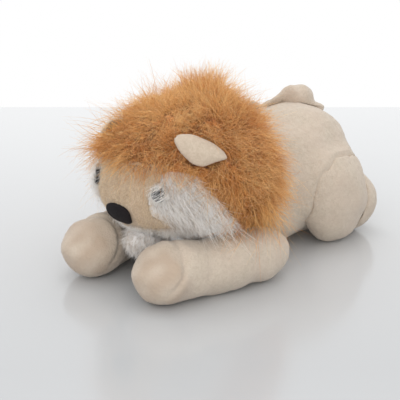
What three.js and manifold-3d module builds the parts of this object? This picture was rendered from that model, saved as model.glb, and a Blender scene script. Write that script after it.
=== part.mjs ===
// A small stuffed lion that lies flat on its belly, in millimetres.
// +Z is up, the face looks towards -Y, and the toy's own left side is +X.
// The origin lies on the flat of the belly, where the toy rests.
import * as THREE from 'three';
import { mergeVertices } from 'three/addons/utils/BufferGeometryUtils.js';
import Module from 'manifold-3d';

const wasm = await Module();
wasm.setup();

// Driving dimensions
const SEAM_GAP = 0.3; // clearance between two sewn pieces
const SINK = 0.5; // how deep the stuffed forms are pressed flat by what they rest on
const COVER = 2.5; // short-pile cloth over the head
const PILE = 16; // mane cloth with its long pile

const HEAD = {
  centre: new THREE.Vector3(0, -50, 60),
  halfWidth: 47,
  front: 53,
  back: 46,
  up: 42.5,
  down: 32,
  snoutBump: 3,
  snoutAim: new THREE.Vector3(0, -1, -0.3).normalize(),
  snoutSpread: 0.42,
};

const NECK = { y: -14, hingeZ: 77, reliefAngle: 36 };
const UNDERSIDE_Z = 40; // seam between the sides of the head and its underside
const HAIRLINE = { topZ: 79.5, frontY: -84, sideY: -61, sideZ: 52, bottomY: -56 };
const MANE_SWELL = { thin: 0.22, from: -0.4, to: 0.5 }; // forward of the ears the pile lies lower
const CROWN_HALF_WIDTH = 24;
const CROWN_BACK_Y = -50;

const FACE = {
  browHalf: 25, eyeHalf: 19.5, muzzleHalf: 26, browZ: 73, eyeZ: 62, cheekZ: 50, muzzleZ: 44,
};
const CHIN = { halfWidth: 15, backY: -76 };
const BEARD = { centre: new THREE.Vector3(0, -83, 27), half: new THREE.Vector3(10.5, 16, 10) };
const NOSE = { halfWidth: 9.5, top: 54.5, bottom: 41.5, corner: 3.6, sag: 0.4, thickness: 2 };

const EYE = {
  aim: new THREE.Vector3(22.5, -43.4, 3.4).normalize(),
  radius: 4.5, height: 3.6, rim: 0.5, shankRadius: 1.7, shankLength: 7.6,
};
const WASHER = { radius: 7, thickness: 1.4, collar: 1.2, collarWall: 1.3, depth: 1.6 };

const EAR = {
  halfWidth: 16, halfThickness: 2.3, stem: 5.5, flap: 16, tipCap: 8, elbow: 3.3, slack: 2,
  aim: new THREE.Vector3(39, -24, 34.5).normalize(),
  along: new THREE.Vector3(0.72, 0.55, -0.4),
  liftRange: 25,
};
// Rise as a share of the stem, drop as a share of the flap, width as a share of the full one
const EAR_FOLD = [[0.55, 0, 0.86], [1, 0.19, 1], [1.22, 0.56, 1], [0.82, 1, 0.62]];
const EAR_ROOT_WIDTH = 0.7;

const TORSO = {
  y: [-46, -26, 0, 26, 50, 91],
  halfWidth: [30, 37, 37, 37, 39, 37],
  top: [52, 66, 74, 81, 86.5, 84],
  capFront: 12,
  capBack: 34,
  squareness: 2.25,
};
const POUCH = { centre: new THREE.Vector3(0, 46, 27), half: new THREE.Vector3(21, 25, 17) };
const CLOSING_SEAM = { length: 30, width: 1.2 };

const ARM = {
  x: [27.5, 30.5, 38.5, 45, 47, 46],
  y: [-120, -101, -76, -52, -31, -15],
  radius: [19, 19.4, 17.4, 17.4, 17, 17],
  capFront: 20,
  capBack: 17,
};
const HAUNCH = { centre: new THREE.Vector3(36, 53, 28.5), half: new THREE.Vector3(18.5, 27, 29) };
const FOOT = {
  x: [34, 31, 28], y: [58, 77, 97], radius: [18, 21.5, 19], slimness: 0.92, capFront: 12, capBack: 19,
};
const TAIL = {
  root: new THREE.Vector3(0, 78, 78.5),
  points: [[-1, 80, 85], [-5, 71, 91.5], [-13, 57, 92.5], [-23, 47, 86.5], [-34, 42, 77]],
  radius: [5.4, 5.4, 5.4, 4.8, 4.4, 4.2],
};
const TUFT = { centre: new THREE.Vector3(-42, 35, 68), half: new THREE.Vector3(9.5, 12, 9.5) };

// Rings along a form and sides round it
const FACETS = {
  head: [18, 28], torso: [22, 28], arm: [18, 20], foot: [12, 18], tail: [20, 10], ear: [13, 16],
  egg: [14, 22], smallEgg: [10, 16], dome: 5, round: 18, bar: 16, outline: 6,
};

const BEIGE = 0xd6cbba;
const FACE_BEIGE = 0xc8b594;
const WHITE = 0xe4dedb;
const MANE = 0xc98f54;
const FILLING = 0xf2f0ec;
const NOSE_BLACK = 0x242124;
const EYE_BLACK = 0x0c0b0b;
const WASHER_WHITE = 0xe9e9e6;

// Turning geometry into solids and back

/** Joins equal corners and drops triangles that have lost their width. */
function welded(geometry) {
  const bare = geometry.clone();
  for (const name of Object.keys(bare.attributes)) {
    if (name !== 'position') bare.deleteAttribute(name);
  }
  const merged = mergeVertices(bare, 1e-4);
  const from = merged.index.array;
  const kept = [];
  for (let i = 0; i < from.length; i += 3) {
    const [a, b, c] = [from[i], from[i + 1], from[i + 2]];
    if (a !== b && b !== c && c !== a) kept.push(a, b, c);
  }
  merged.setIndex(kept);
  return merged;
}

/** The solid that a closed geometry bounds. */
function solid(geometry) {
  const mesh = welded(geometry);
  return new wasm.Manifold(new wasm.Mesh({
    numProp: 3,
    vertProperties: new Float32Array(mesh.attributes.position.array),
    triVerts: new Uint32Array(mesh.index.array),
  }));
}

/** The geometry of a solid's surface. */
function surface(body) {
  const { vertProperties, triVerts } = body.getMesh();
  const geometry = new THREE.BufferGeometry();
  geometry.setAttribute('position', new THREE.BufferAttribute(new Float32Array(vertProperties), 3));
  geometry.setIndex(new THREE.BufferAttribute(new Uint32Array(triVerts), 1));
  return geometry;
}

/** The same geometry with its faces turned inside out. */
function flipped(geometry) {
  const index = geometry.index.array;
  for (let i = 0; i < index.length; i += 3) {
    [index[i + 1], index[i + 2]] = [index[i + 2], index[i + 1]];
  }
  return geometry;
}

/** The same geometry on the other side of the toy. */
function mirrored(geometry) {
  return flipped(geometry.clone().scale(-1, 1, 1));
}

/** A box between two corners, as a solid. */
function block(low, high) {
  const size = new THREE.Vector3(...high).sub(new THREE.Vector3(...low));
  const box = new THREE.BoxGeometry(size.x, size.y, size.z);
  return solid(box.translate(low[0] + size.x / 2, low[1] + size.y / 2, low[2] + size.z / 2));
}

const FAR = 300;
const BELOW_FLOOR = block([-FAR, -FAR, -FAR], [FAR, FAR, 0]);

/** An outline drawn in Y and Z, carried through along X. */
function prismAlongX(shape, fromX, toX) {
  const geometry = new THREE.ExtrudeGeometry(shape, {
    depth: toX - fromX, bevelEnabled: false, curveSegments: FACETS.outline,
  });
  const turn = new THREE.Matrix4().makeBasis(
    new THREE.Vector3(0, 1, 0), new THREE.Vector3(0, 0, 1), new THREE.Vector3(1, 0, 0),
  );
  return solid(geometry.applyMatrix4(turn).translate(fromX, 0, 0));
}

/** An outline drawn in X and Z, carried through along Y. */
function prismAlongY(shape, fromY, toY) {
  const geometry = new THREE.ExtrudeGeometry(shape, {
    depth: toY - fromY, bevelEnabled: false, curveSegments: FACETS.outline,
  });
  return solid(geometry.rotateX(Math.PI / 2).translate(0, toY, 0));
}

/** A round bar from one point along a direction. */
function bar(from, direction, radius, start, end) {
  const geometry = new THREE.CylinderGeometry(radius, radius, end - start, FACETS.bar);
  geometry.rotateX(Math.PI / 2).translate(0, 0, (start + end) / 2);
  return solid(placed(geometry, from, direction));
}

/** Geometry drawn along +Z, turned to a direction and moved to a point. */
function placed(geometry, at, direction) {
  const turn = new THREE.Quaternion().setFromUnitVectors(new THREE.Vector3(0, 0, 1), direction);
  return geometry.applyQuaternion(turn).translate(at.x, at.y, at.z);
}

/** An egg with its own half sizes. */
function egg(centre, half, [rings, sides] = FACETS.egg) {
  const ball = new THREE.SphereGeometry(1, sides, rings).rotateX(Math.PI / 2);
  return ball.scale(half.x, half.y, half.z).translate(centre.x, centre.y, centre.z);
}

/** A round ball, as a solid. */
function ball(centre, radius) {
  return solid(egg(centre, new THREE.Vector3(radius, radius, radius)));
}

/** How far a form has swelled, 0 at its tip and 1 past its round cap. */
function capSwell(distance, cap) {
  if (distance >= cap) return 1;
  const left = 1 - distance / cap;
  return Math.sqrt(Math.max(0, 1 - left * left));
}

/** A point of a rounded oval: squareness 2 is an ellipse, more is fuller at the corners. */
function ovalPoint(turn, squareness) {
  const power = 2 / squareness;
  const [c, s] = [Math.cos(turn), Math.sin(turn)];
  return [Math.sign(c) * Math.abs(c) ** power, Math.sign(s) * Math.abs(s) ** power];
}

/**
 * A stuffed form: oval rings along a smooth path, swelling and tapering between the sizes
 * given at the path's points, with a round cap at each end.
 */
function stuffedForm(form) {
  const { path, sizes, capFront, capBack, facets: [rings, sides], squareness = 2 } = form;
  const side = form.side ?? new THREE.Vector3(1, 0, 0);
  const route = new THREE.CatmullRomCurve3(path, false, 'centripetal');
  const swell = new THREE.CatmullRomCurve3(
    sizes.map(([w, h]) => new THREE.Vector3(w, h, 0)), false, 'catmullrom', 0.5,
  );
  const length = route.getLength();
  const points = [];
  for (let ring = 0; ring <= rings; ring += 1) {
    const along = (1 - Math.cos((Math.PI * ring) / rings)) / 2;
    const t = route.getUtoTmapping(along);
    const centre = route.getPoint(t);
    const size = swell.getPoint(t);
    const forward = route.getTangent(t);
    const across = side.clone().addScaledVector(forward, -side.dot(forward)).normalize();
    const upward = across.clone().cross(forward).normalize();
    const fill = Math.min(
      capSwell(along * length, capFront), capSwell((1 - along) * length, capBack),
    );
    const isTip = ring === 0 || ring === rings;
    for (let step = 0; step < (isTip ? 1 : sides); step += 1) {
      const [c, s] = isTip ? [0, 0] : ovalPoint((2 * Math.PI * step) / sides, squareness);
      points.push(centre.clone()
        .addScaledVector(across, c * size.x * fill)
        .addScaledVector(upward, s * size.y * fill));
    }
  }
  return ringMesh(points, rings, sides);
}

/** Faces between rings of points whose first and last ring are single points. */
function ringMesh(points, rings, sides) {
  const faces = [];
  const at = (ring, step) => 1 + (ring - 1) * sides + (step % sides);
  const last = points.length - 1;
  for (let step = 0; step < sides; step += 1) {
    faces.push(0, at(1, step), at(1, step + 1));
    for (let ring = 1; ring < rings - 1; ring += 1) {
      const [a, b] = [at(ring, step), at(ring, step + 1)];
      const [c, d] = [at(ring + 1, step), at(ring + 1, step + 1)];
      faces.push(a, c, b, b, c, d);
    }
    faces.push(last, at(rings - 1, step + 1), at(rings - 1, step));
  }
  const geometry = new THREE.BufferGeometry().setFromPoints(points);
  geometry.setIndex(faces);
  return outward(geometry);
}

/** The geometry with its faces pointing out. */
function outward(geometry) {
  const position = geometry.attributes.position;
  const index = geometry.index.array;
  const corners = [new THREE.Vector3(), new THREE.Vector3(), new THREE.Vector3()];
  let volume = 0;
  for (let i = 0; i < index.length; i += 3) {
    corners.forEach((corner, k) => corner.fromBufferAttribute(position, index[i + k]));
    volume += corners[0].dot(corners[1].clone().cross(corners[2]));
  }
  return volume < 0 ? flipped(geometry) : geometry;
}

// Head

/** Where the head's surface lies in a direction from its centre, grown by a cover's depth. */
function headPoint(direction, grow) {
  const length = direction.y < 0 ? HEAD.front : HEAD.back;
  const height = direction.z > 0 ? HEAD.up : HEAD.down;
  const reach = 1 / Math.hypot(
    direction.x / HEAD.halfWidth, direction.y / length, direction.z / height,
  );
  const bump = Math.exp(-((direction.angleTo(HEAD.snoutAim) / HEAD.snoutSpread) ** 2));
  const depth = typeof grow === 'function' ? grow(direction) : grow;
  const radius = reach + HEAD.snoutBump * bump + depth;
  return HEAD.centre.clone().addScaledVector(direction, radius);
}

/** How deep the pile is in a direction: thin where the mane starts above the brow. */
function pileDepth(direction) {
  const { thin, from, to } = MANE_SWELL;
  return PILE * (thin + (1 - thin) * THREE.MathUtils.smoothstep(direction.y, from, to));
}

/** The stuffed head, grown by a cover's depth. */
function headForm(grow) {
  const [rings, sides] = FACETS.head;
  const ball = new THREE.SphereGeometry(1, sides, rings).rotateX(Math.PI / 2);
  const position = ball.attributes.position;
  for (let i = 0; i < position.count; i += 1) {
    const direction = new THREE.Vector3().fromBufferAttribute(position, i).normalize();
    const point = headPoint(direction, grow);
    position.setXYZ(i, point.x, point.y, point.z);
  }
  return solid(ball);
}

/** Everything behind the neck seam, and under the slope that lets the head tip back. */
function neckRelief() {
  const rise = Math.tan(THREE.MathUtils.degToRad(NECK.reliefAngle));
  const y = NECK.y - SEAM_GAP;
  const shape = new THREE.Shape();
  shape.moveTo(y, -FAR);
  shape.lineTo(FAR, -FAR);
  shape.lineTo(FAR, NECK.hingeZ + rise * (FAR - y));
  shape.lineTo(y, NECK.hingeZ);
  return prismAlongX(shape, -FAR, FAR);
}

/** The part of the head in front of the hairline, moved back by a clearance. */
function inFrontOfHair(clearance) {
  const { topZ, frontY, sideY, sideZ, bottomY } = HAIRLINE;
  const shape = new THREE.Shape();
  shape.moveTo(-FAR, topZ + clearance);
  shape.lineTo(frontY, topZ + clearance);
  shape.quadraticCurveTo(sideY + clearance, topZ + clearance, sideY + clearance, sideZ);
  shape.quadraticCurveTo(sideY + clearance, UNDERSIDE_Z, bottomY + clearance, -FAR / 2);
  shape.lineTo(-FAR, -FAR / 2);
  return prismAlongX(shape, -FAR, FAR);
}

/** The middle of the face seen from the front, widened by a clearance. */
function faceOutline(clearance) {
  const { browHalf, eyeHalf, muzzleHalf, browZ, eyeZ, cheekZ, muzzleZ } = FACE;
  const half = [
    [browHalf, FAR], [browHalf, browZ], [eyeHalf, eyeZ],
    [eyeHalf, cheekZ], [muzzleHalf, muzzleZ], [muzzleHalf, -FAR],
  ];
  const shape = new THREE.Shape();
  half.forEach(([x, z], i) => shape[i ? 'lineTo' : 'moveTo'](x + clearance, z));
  half.reverse().forEach(([x, z]) => shape.lineTo(-x - clearance, z));
  return prismAlongY(shape, -FAR, FAR);
}

/** A triangle with round corners, wide at the top, for the nose. */
function noseOutline() {
  const { halfWidth: w, top, bottom, corner: r, sag } = NOSE;
  const shape = new THREE.Shape();
  shape.moveTo(-w + r, top);
  shape.lineTo(w - r, top);
  shape.quadraticCurveTo(w, top, w, top - r);
  shape.quadraticCurveTo(w * 0.9, bottom + r * 0.6, r * 0.9, bottom);
  shape.quadraticCurveTo(0, bottom - sag, -r * 0.9, bottom);
  shape.quadraticCurveTo(-w * 0.9, bottom + r * 0.6, -w, top - r);
  shape.quadraticCurveTo(-w, top, -w + r, top);
  return prismAlongY(shape, -FAR, HEAD.centre.y);
}

/** A layer of cloth or pile on the head, from the stuffing out to a depth. */
function layer(depth) {
  return headForm(depth).subtract(headForm(SEAM_GAP)).subtract(neckRelief());
}

/** A closed disc or dome turned about its own axis. */
function turned(profile) {
  return new THREE.LatheGeometry(profile.map(([r, z]) => new THREE.Vector2(r, z)), FACETS.round)
    .rotateX(Math.PI / 2);
}

const eyeRoot = headPoint(EYE.aim, 0);

/** The way the head's surface faces where an eye sits. */
function eyeFacing() {
  const nudge = 0.02;
  const side = EYE.aim.clone().cross(new THREE.Vector3(0, 0, 1)).normalize();
  const rise = side.clone().cross(EYE.aim).normalize();
  const a = headPoint(EYE.aim.clone().addScaledVector(side, nudge).normalize(), 0);
  const b = headPoint(EYE.aim.clone().addScaledVector(rise, nudge).normalize(), 0);
  const normal = a.sub(eyeRoot).cross(b.sub(eyeRoot)).normalize();
  return normal.dot(EYE.aim) > 0 ? normal : normal.negate();
}

const eyeNormal = eyeFacing();

/** A domed eye with the shank that goes through the cloth. */
function eyeGeometry() {
  const { radius, height, rim, shankRadius, shankLength } = EYE;
  const dome = [];
  for (let step = 0; step < FACETS.dome; step += 1) {
    const turn = (step / FACETS.dome) * (Math.PI / 2);
    dome.push([radius * Math.cos(turn), rim + (height - rim) * Math.sin(turn)]);
  }
  dome.push([0, height]);
  const profile = [[0, -shankLength], [shankRadius, -shankLength], [shankRadius, 0], [radius, 0]];
  const seat = eyeRoot.clone().addScaledVector(eyeNormal, COVER + SEAM_GAP);
  return placed(turned([...profile, ...dome]), seat, eyeNormal);
}

/** The locking washer behind the cloth, a disc with a collar round the shank. */
function washerGeometry() {
  const { radius, thickness, collar, collarWall, depth } = WASHER;
  const bore = EYE.shankRadius + SEAM_GAP;
  const back = -depth - thickness;
  const profile = [
    [bore, -depth], [bore, back - collar], [bore + collarWall, back - collar],
    [bore + collarWall, back], [radius, back], [radius, -depth], [bore, -depth],
  ];
  return outward(welded(placed(turned(profile), eyeRoot, eyeNormal)));
}

/** Room in the stuffing for the washer and the end of the shank. */
function washerPocket() {
  const floor = -WASHER.depth - WASHER.thickness - SEAM_GAP;
  const collarFloor = floor - WASHER.collar;
  const tail = -EYE.shankLength - SEAM_GAP + COVER;
  return bar(eyeRoot, eyeNormal, WASHER.radius + SEAM_GAP, floor, COVER)
    .add(bar(eyeRoot, eyeNormal, EYE.shankRadius + SEAM_GAP * 2 + WASHER.collarWall, collarFloor, 0))
    .add(bar(eyeRoot, eyeNormal, EYE.shankRadius + SEAM_GAP, tail, 0));
}

/** The directions of an ear: along its root, out of the head, and down its flap. */
function earFrame() {
  const out = EAR.aim.clone();
  const along = EAR.along.clone().addScaledVector(out, -EAR.along.dot(out)).normalize();
  const down = along.clone().cross(out).normalize();
  return { out, along, down, root: headPoint(EAR.aim, SEAM_GAP + EAR.halfThickness) };
}

/** A flopped ear: a flat stuffed pad that rises through the pile and folds down over it. */
function earForm(grow = 0) {
  const { out, along, down, root } = earFrame();
  const { halfWidth, halfThickness, stem, flap, tipCap } = EAR;
  const at = (rise, drop) => root.clone().addScaledVector(out, rise).addScaledVector(down, drop);
  const path = EAR_FOLD.map(([rise, drop]) => at(rise * stem, drop * (flap + grow)));
  const widths = [EAR_ROOT_WIDTH, ...EAR_FOLD.map(([, , width]) => width)];
  return solid(stuffedForm({
    path: [at(-halfThickness - grow, 0), ...path],
    sizes: widths.map((width) => [width * halfWidth + grow, halfThickness + grow]),
    capFront: halfThickness,
    capBack: tipCap,
    facets: FACETS.ear,
    side: along,
  }));
}

/** The room in the pile that an ear needs at rest and as it lifts about its root. */
function earSweep() {
  const { out, along, down, root } = earFrame();
  const { halfWidth, halfThickness, stem, flap, elbow, liftRange, slack } = EAR;
  const half = halfThickness + 2 * SEAM_GAP;
  const lean = Math.tan(THREE.MathUtils.degToRad(liftRange)) * PILE;
  const shape = new THREE.Shape();
  shape.moveTo(-half, -half);
  shape.lineTo(-half - lean, PILE + stem);
  shape.lineTo(flap + stem, PILE + stem);
  shape.lineTo(flap, stem - slack / 2);
  shape.lineTo(elbow, stem);
  shape.lineTo(0, -half);
  const width = halfWidth + slack;
  const slot = new THREE.ExtrudeGeometry(shape, { depth: 2 * width, bevelEnabled: false });
  slot.translate(0, 0, -width);
  const well = new THREE.CylinderGeometry(1, 1, 2 * FAR, FACETS.round);
  well.scale((flap + half + lean) / 2, 1, width).translate((flap - half - lean) / 2, 0, 0);
  const frame = new THREE.Matrix4().makeBasis(down, out, along).setPosition(root);
  return solid(outward(welded(slot.applyMatrix4(frame))))
    .intersect(solid(outward(welded(well.applyMatrix4(frame)))))
    .add(earForm(SEAM_GAP));
}

// Body

const torsoPath = TORSO.y.map((y, i) => new THREE.Vector3(0, y, (TORSO.top[i] - SINK) / 2));
const torsoSizes = TORSO.halfWidth.map((w, i) => [w, (TORSO.top[i] + SINK) / 2]);

/** The stuffed body, before anything is cut from it. */
function torsoForm(grow = 0) {
  return solid(stuffedForm({
    path: torsoPath,
    sizes: torsoSizes.map(([w, h]) => [w + grow, h + grow]),
    capFront: TORSO.capFront,
    capBack: TORSO.capBack,
    facets: FACETS.torso,
    squareness: TORSO.squareness,
  }));
}

/** Room for the head: the neck seam behind it and the chest under it. */
function headNotch() {
  const underHead = HEAD.centre.z - HEAD.down - COVER - SEAM_GAP;
  return block([-FAR, -FAR, underHead], [FAR, NECK.y, FAR]);
}

/** The opening that the body is filled through, sewn shut on a real toy. */
function closingSlit() {
  const half = [CLOSING_SEAM.width / 2, CLOSING_SEAM.length / 2];
  const y = POUCH.centre.y;
  return block([-half[0], y - half[1], -1], [half[0], y + half[1], POUCH.centre.z]);
}

/** A foreleg with its paw, lying along the floor. */
function armForm(grow = 0) {
  return solid(stuffedForm({
    path: ARM.x.map((x, i) => new THREE.Vector3(x, ARM.y[i], ARM.radius[i] - SINK)),
    sizes: ARM.radius.map((r) => [r + grow, r + grow]),
    capFront: ARM.capFront,
    capBack: ARM.capBack,
    facets: FACETS.arm,
  }));
}

const shoulder = new THREE.Vector3(ARM.x[4], ARM.y[4], ARM.radius[4] - SINK);
const hip = new THREE.Vector3(HAUNCH.centre.x, HAUNCH.centre.y - HAUNCH.half.y + 1, 0);

/** The hollow at the shoulder that the rounded end of a foreleg turns in. */
function shoulderSocket() {
  return ball(shoulder, ARM.radius[4] + 2 * SEAM_GAP);
}

/** A hind foot, sole down, behind its haunch. */
function footForm() {
  return solid(stuffedForm({
    path: FOOT.x.map((x, i) => new THREE.Vector3(x, FOOT.y[i], FOOT.radius[i] - SINK)),
    sizes: FOOT.radius.map((r) => [r * FOOT.slimness, r]),
    capFront: FOOT.capFront,
    capBack: FOOT.capBack,
    facets: FACETS.foot,
  }));
}

/** The tail, whose rounded end sits in a hollow of the rump about its root. */
function tailForm(grow = 0) {
  const { root, points, radius } = TAIL;
  const path = points.map((p) => new THREE.Vector3(...p));
  const sunk = root.clone().sub(path[0]).setLength(radius[0]).add(root);
  return solid(stuffedForm({
    path: [sunk, root, ...path],
    sizes: [radius[0], ...radius].map((r) => [r + grow, r + grow]),
    capFront: radius[0],
    capBack: radius.at(-1),
    facets: FACETS.tail,
  }));
}

// Pieces

const mirror = (body) => solid(mirrored(surface(body)));
const bothSides = (body) => body.add(mirror(body));
const leftHalf = (x) => block([x, -FAR, -FAR], [FAR, FAR, FAR]);
const above = (z) => block([-FAR, -FAR, z], [FAR, FAR, FAR]);
const grown = (half, by) => half.clone().addScalar(by);

const stuffedHead = headForm(0);
const coveredHead = headForm(COVER + SEAM_GAP);
const wholeTorso = torsoForm();
const torsoClear = torsoForm(SEAM_GAP);
const sockets = bothSides(shoulderSocket().add(armForm(SEAM_GAP)));
const tailSocket = ball(TAIL.root, TAIL.radius[0] + 2 * SEAM_GAP);

const torso = wholeTorso
  .subtract(BELOW_FLOOR)
  .subtract(headNotch())
  .subtract(sockets)
  .subtract(tailSocket)
  .subtract(solid(egg(POUCH.centre, grown(POUCH.half, SEAM_GAP), FACETS.smallEgg)))
  .subtract(closingSlit());
const pouch = solid(egg(POUCH.centre, POUCH.half, FACETS.smallEgg));

const cover = layer(COVER);
const frontCover = cover.intersect(inFrontOfHair(0)).intersect(above(UNDERSIDE_Z + SEAM_GAP));
const chinBox = (by) => block(
  [-CHIN.halfWidth - by, -FAR, -FAR], [CHIN.halfWidth + by, CHIN.backY + by, UNDERSIDE_Z],
);
const underCover = cover.subtract(above(UNDERSIDE_Z));
const pockets = bothSides(washerPocket());
const shankHole = bar(eyeRoot, eyeNormal, EYE.shankRadius + SEAM_GAP, -COVER, 2 * COVER);

const headFilling = stuffedHead.subtract(neckRelief()).subtract(pockets);
const facePanel = frontCover.intersect(faceOutline(0));
const cheek = frontCover.subtract(faceOutline(SEAM_GAP)).intersect(leftHalf(0)).subtract(shankHole);
const chinPanel = underCover.intersect(chinBox(0));
const throatPanel = underCover.subtract(chinBox(SEAM_GAP));
const nose = headForm(COVER + SEAM_GAP + NOSE.thickness).subtract(coveredHead).intersect(noseOutline());
const beard = solid(egg(BEARD.centre, BEARD.half, FACETS.smallEgg)).subtract(coveredHead);

const ear = earForm();
const earRoom = bothSides(earSweep());
const pile = layer(pileDepth)
  .subtract(inFrontOfHair(SEAM_GAP))
  .intersect(above(UNDERSIDE_Z + SEAM_GAP))
  .subtract(earRoom);
const crownStrip = block([-CROWN_HALF_WIDTH, -FAR, HEAD.centre.z], [CROWN_HALF_WIDTH, FAR, FAR]);
const behindCrown = block([-FAR, CROWN_BACK_Y, -FAR], [FAR, FAR, FAR]);
const inFrontOfNape = block([-FAR, -FAR, -FAR], [FAR, CROWN_BACK_Y - SEAM_GAP, FAR]);
const maneCrown = pile.intersect(crownStrip).intersect(inFrontOfNape);
const maneNape = pile.intersect(crownStrip).intersect(behindCrown);
const maneSide = pile.intersect(leftHalf(CROWN_HALF_WIDTH + SEAM_GAP));

const arm = armForm().subtract(BELOW_FLOOR).subtract(headForm(COVER + 2 * SEAM_GAP));
const haunch = solid(egg(HAUNCH.centre, HAUNCH.half)).subtract(BELOW_FLOOR).subtract(torsoClear);
const haunchClear = solid(egg(HAUNCH.centre, grown(HAUNCH.half, SEAM_GAP)));
const foot = footForm().subtract(BELOW_FLOOR).subtract(torsoClear).subtract(haunchClear);
const tail = tailForm();
const tuft = solid(egg(TUFT.centre, TUFT.half, FACETS.smallEgg))
  .subtract(tailForm(SEAM_GAP))
  .subtract(torsoClear);

// Scene graph: one group for each body that moves, standing at its own hinge

const cloth = (color) => new THREE.MeshStandardMaterial({ color, roughness: 0.95, metalness: 0 });
const plastic = (color) => new THREE.MeshStandardMaterial({ color, roughness: 0.15, metalness: 0 });
const toy = new THREE.Group();

/** A group standing at a hinge, which carries the meshes that move with it. */
function jointGroup(parent, hinge) {
  const group = new THREE.Group();
  group.position.copy(hinge);
  parent.add(group);
  return group;
}

/** Adds one named piece, given in the toy's frame, to a group that stands at its hinge. */
function piece(group, name, geometry, material) {
  const local = geometry.clone().translate(-group.position.x, -group.position.y, -group.position.z);
  const mesh = new THREE.Mesh(local, material);
  mesh.name = name;
  group.add(mesh);
}

const still = jointGroup(toy, new THREE.Vector3());
piece(still, 'torso', surface(torso), cloth(BEIGE));
piece(still, 'pellet_pouch', surface(pouch), cloth(FILLING));

const head = jointGroup(toy, new THREE.Vector3(0, NECK.y, NECK.hingeZ));
piece(head, 'head_filling', surface(headFilling), cloth(FILLING));
piece(head, 'face_panel', surface(facePanel), cloth(FACE_BEIGE));
piece(head, 'chin_panel', surface(chinPanel), cloth(WHITE));
piece(head, 'throat_panel', surface(throatPanel), cloth(FACE_BEIGE));
piece(head, 'beard', surface(beard), cloth(WHITE));
piece(head, 'nose', surface(nose), cloth(NOSE_BLACK));
piece(head, 'mane_crown', surface(maneCrown), cloth(MANE));
piece(head, 'mane_nape', surface(maneNape), cloth(MANE));

const tailGroup = jointGroup(toy, TAIL.root);
piece(tailGroup, 'tail', surface(tail), cloth(BEIGE));
piece(tailGroup, 'tail_tuft', surface(tuft), cloth(MANE));

for (const side of ['left', 'right']) {
  const own = (geometry) => (side === 'left' ? geometry : mirrored(welded(geometry)));
  const ownPoint = (p) => new THREE.Vector3(side === 'left' ? p.x : -p.x, p.y, p.z);
  piece(head, `cheek_${side}`, own(surface(cheek)), cloth(WHITE));
  piece(head, `mane_${side}`, own(surface(maneSide)), cloth(MANE));
  piece(head, `eye_${side}`, own(outward(welded(eyeGeometry()))), plastic(EYE_BLACK));
  piece(head, `eye_washer_${side}`, own(washerGeometry()), plastic(WASHER_WHITE));
  const earRoot = ownPoint(earFrame().root.clone().sub(head.position));
  const earGroup = jointGroup(head, earRoot);
  const earInHead = surface(ear).translate(-head.position.x, -head.position.y, -head.position.z);
  piece(earGroup, `ear_${side}`, own(earInHead), cloth(BEIGE));
  const armGroup = jointGroup(toy, ownPoint(shoulder));
  piece(armGroup, `arm_${side}`, own(surface(arm)), cloth(BEIGE));
  const legGroup = jointGroup(toy, ownPoint(hip));
  piece(legGroup, `haunch_${side}`, own(surface(haunch)), cloth(BEIGE));
  piece(legGroup, `hind_foot_${side}`, own(surface(foot)), cloth(BEIGE));
}

export default toy;
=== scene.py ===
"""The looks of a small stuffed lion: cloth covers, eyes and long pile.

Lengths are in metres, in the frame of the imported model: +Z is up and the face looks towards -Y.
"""

import logging
import math
from dataclasses import dataclass, field
from enum import Enum
from typing import Callable, Optional

import bmesh
import bpy
import numpy as np
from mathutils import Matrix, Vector, noise
from mathutils.bvhtree import BVHTree
from mathutils.kdtree import KDTree


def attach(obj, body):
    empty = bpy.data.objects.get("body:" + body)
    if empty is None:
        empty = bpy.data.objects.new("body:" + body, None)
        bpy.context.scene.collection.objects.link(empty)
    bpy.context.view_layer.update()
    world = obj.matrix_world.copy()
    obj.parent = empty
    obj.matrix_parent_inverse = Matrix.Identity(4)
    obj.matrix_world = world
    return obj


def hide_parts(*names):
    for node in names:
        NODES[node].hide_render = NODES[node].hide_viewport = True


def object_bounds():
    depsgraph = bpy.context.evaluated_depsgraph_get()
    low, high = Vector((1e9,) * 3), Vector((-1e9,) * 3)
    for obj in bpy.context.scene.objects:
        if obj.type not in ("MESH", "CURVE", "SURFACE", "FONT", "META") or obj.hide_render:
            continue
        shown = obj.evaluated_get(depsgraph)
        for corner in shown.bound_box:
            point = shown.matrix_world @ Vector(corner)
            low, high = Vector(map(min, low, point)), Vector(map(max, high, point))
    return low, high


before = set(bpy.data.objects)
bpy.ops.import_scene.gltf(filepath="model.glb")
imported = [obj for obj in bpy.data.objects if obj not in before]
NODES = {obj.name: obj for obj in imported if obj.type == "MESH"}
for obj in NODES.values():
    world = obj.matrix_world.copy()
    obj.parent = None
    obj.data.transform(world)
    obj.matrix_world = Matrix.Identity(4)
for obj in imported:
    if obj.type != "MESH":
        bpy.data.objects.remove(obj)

Array = np.ndarray
Point = tuple[float, float, float]
Color = tuple[float, float, float]
Span = tuple[float, float]
Faces = list[tuple[int, ...]]
Socket = bpy.types.NodeSocket
Form = Callable[[Array], tuple[Array, Array]]

log = logging.getLogger("toy")
CAD_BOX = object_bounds()

# Corners closer than this are one corner
WELD = 1e-6
# How deep the relief of a cloth's bump is
BUMP_DEPTH = 0.001
# The way from the head's middle to the left eye
EYE_AIM: Point = (0.0225, -0.0434, 0.0034)
# Cosine and sine of the angle from which the photograph looks at the toy
VIEW_COS, VIEW_SIN = 0.727, 0.687


class Side(Enum):
    """The toy's own left and right."""

    LEFT = 1
    RIGHT = -1

    @property
    def label(self) -> str:
        """The ending of this side's piece names."""
        return self.name.lower()


class Slot(Enum):
    """The record's material slots."""

    BODY = "body_plush"
    FACE = "face_plush"
    WHITE = "white_fur"
    MANE = "mane_fur"
    NOSE = "nose_cloth"
    EYE = "eye_plastic"
    WASHER = "washer_plastic"
    FILLING = "filling"
    PELLETS = "pellets"


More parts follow.
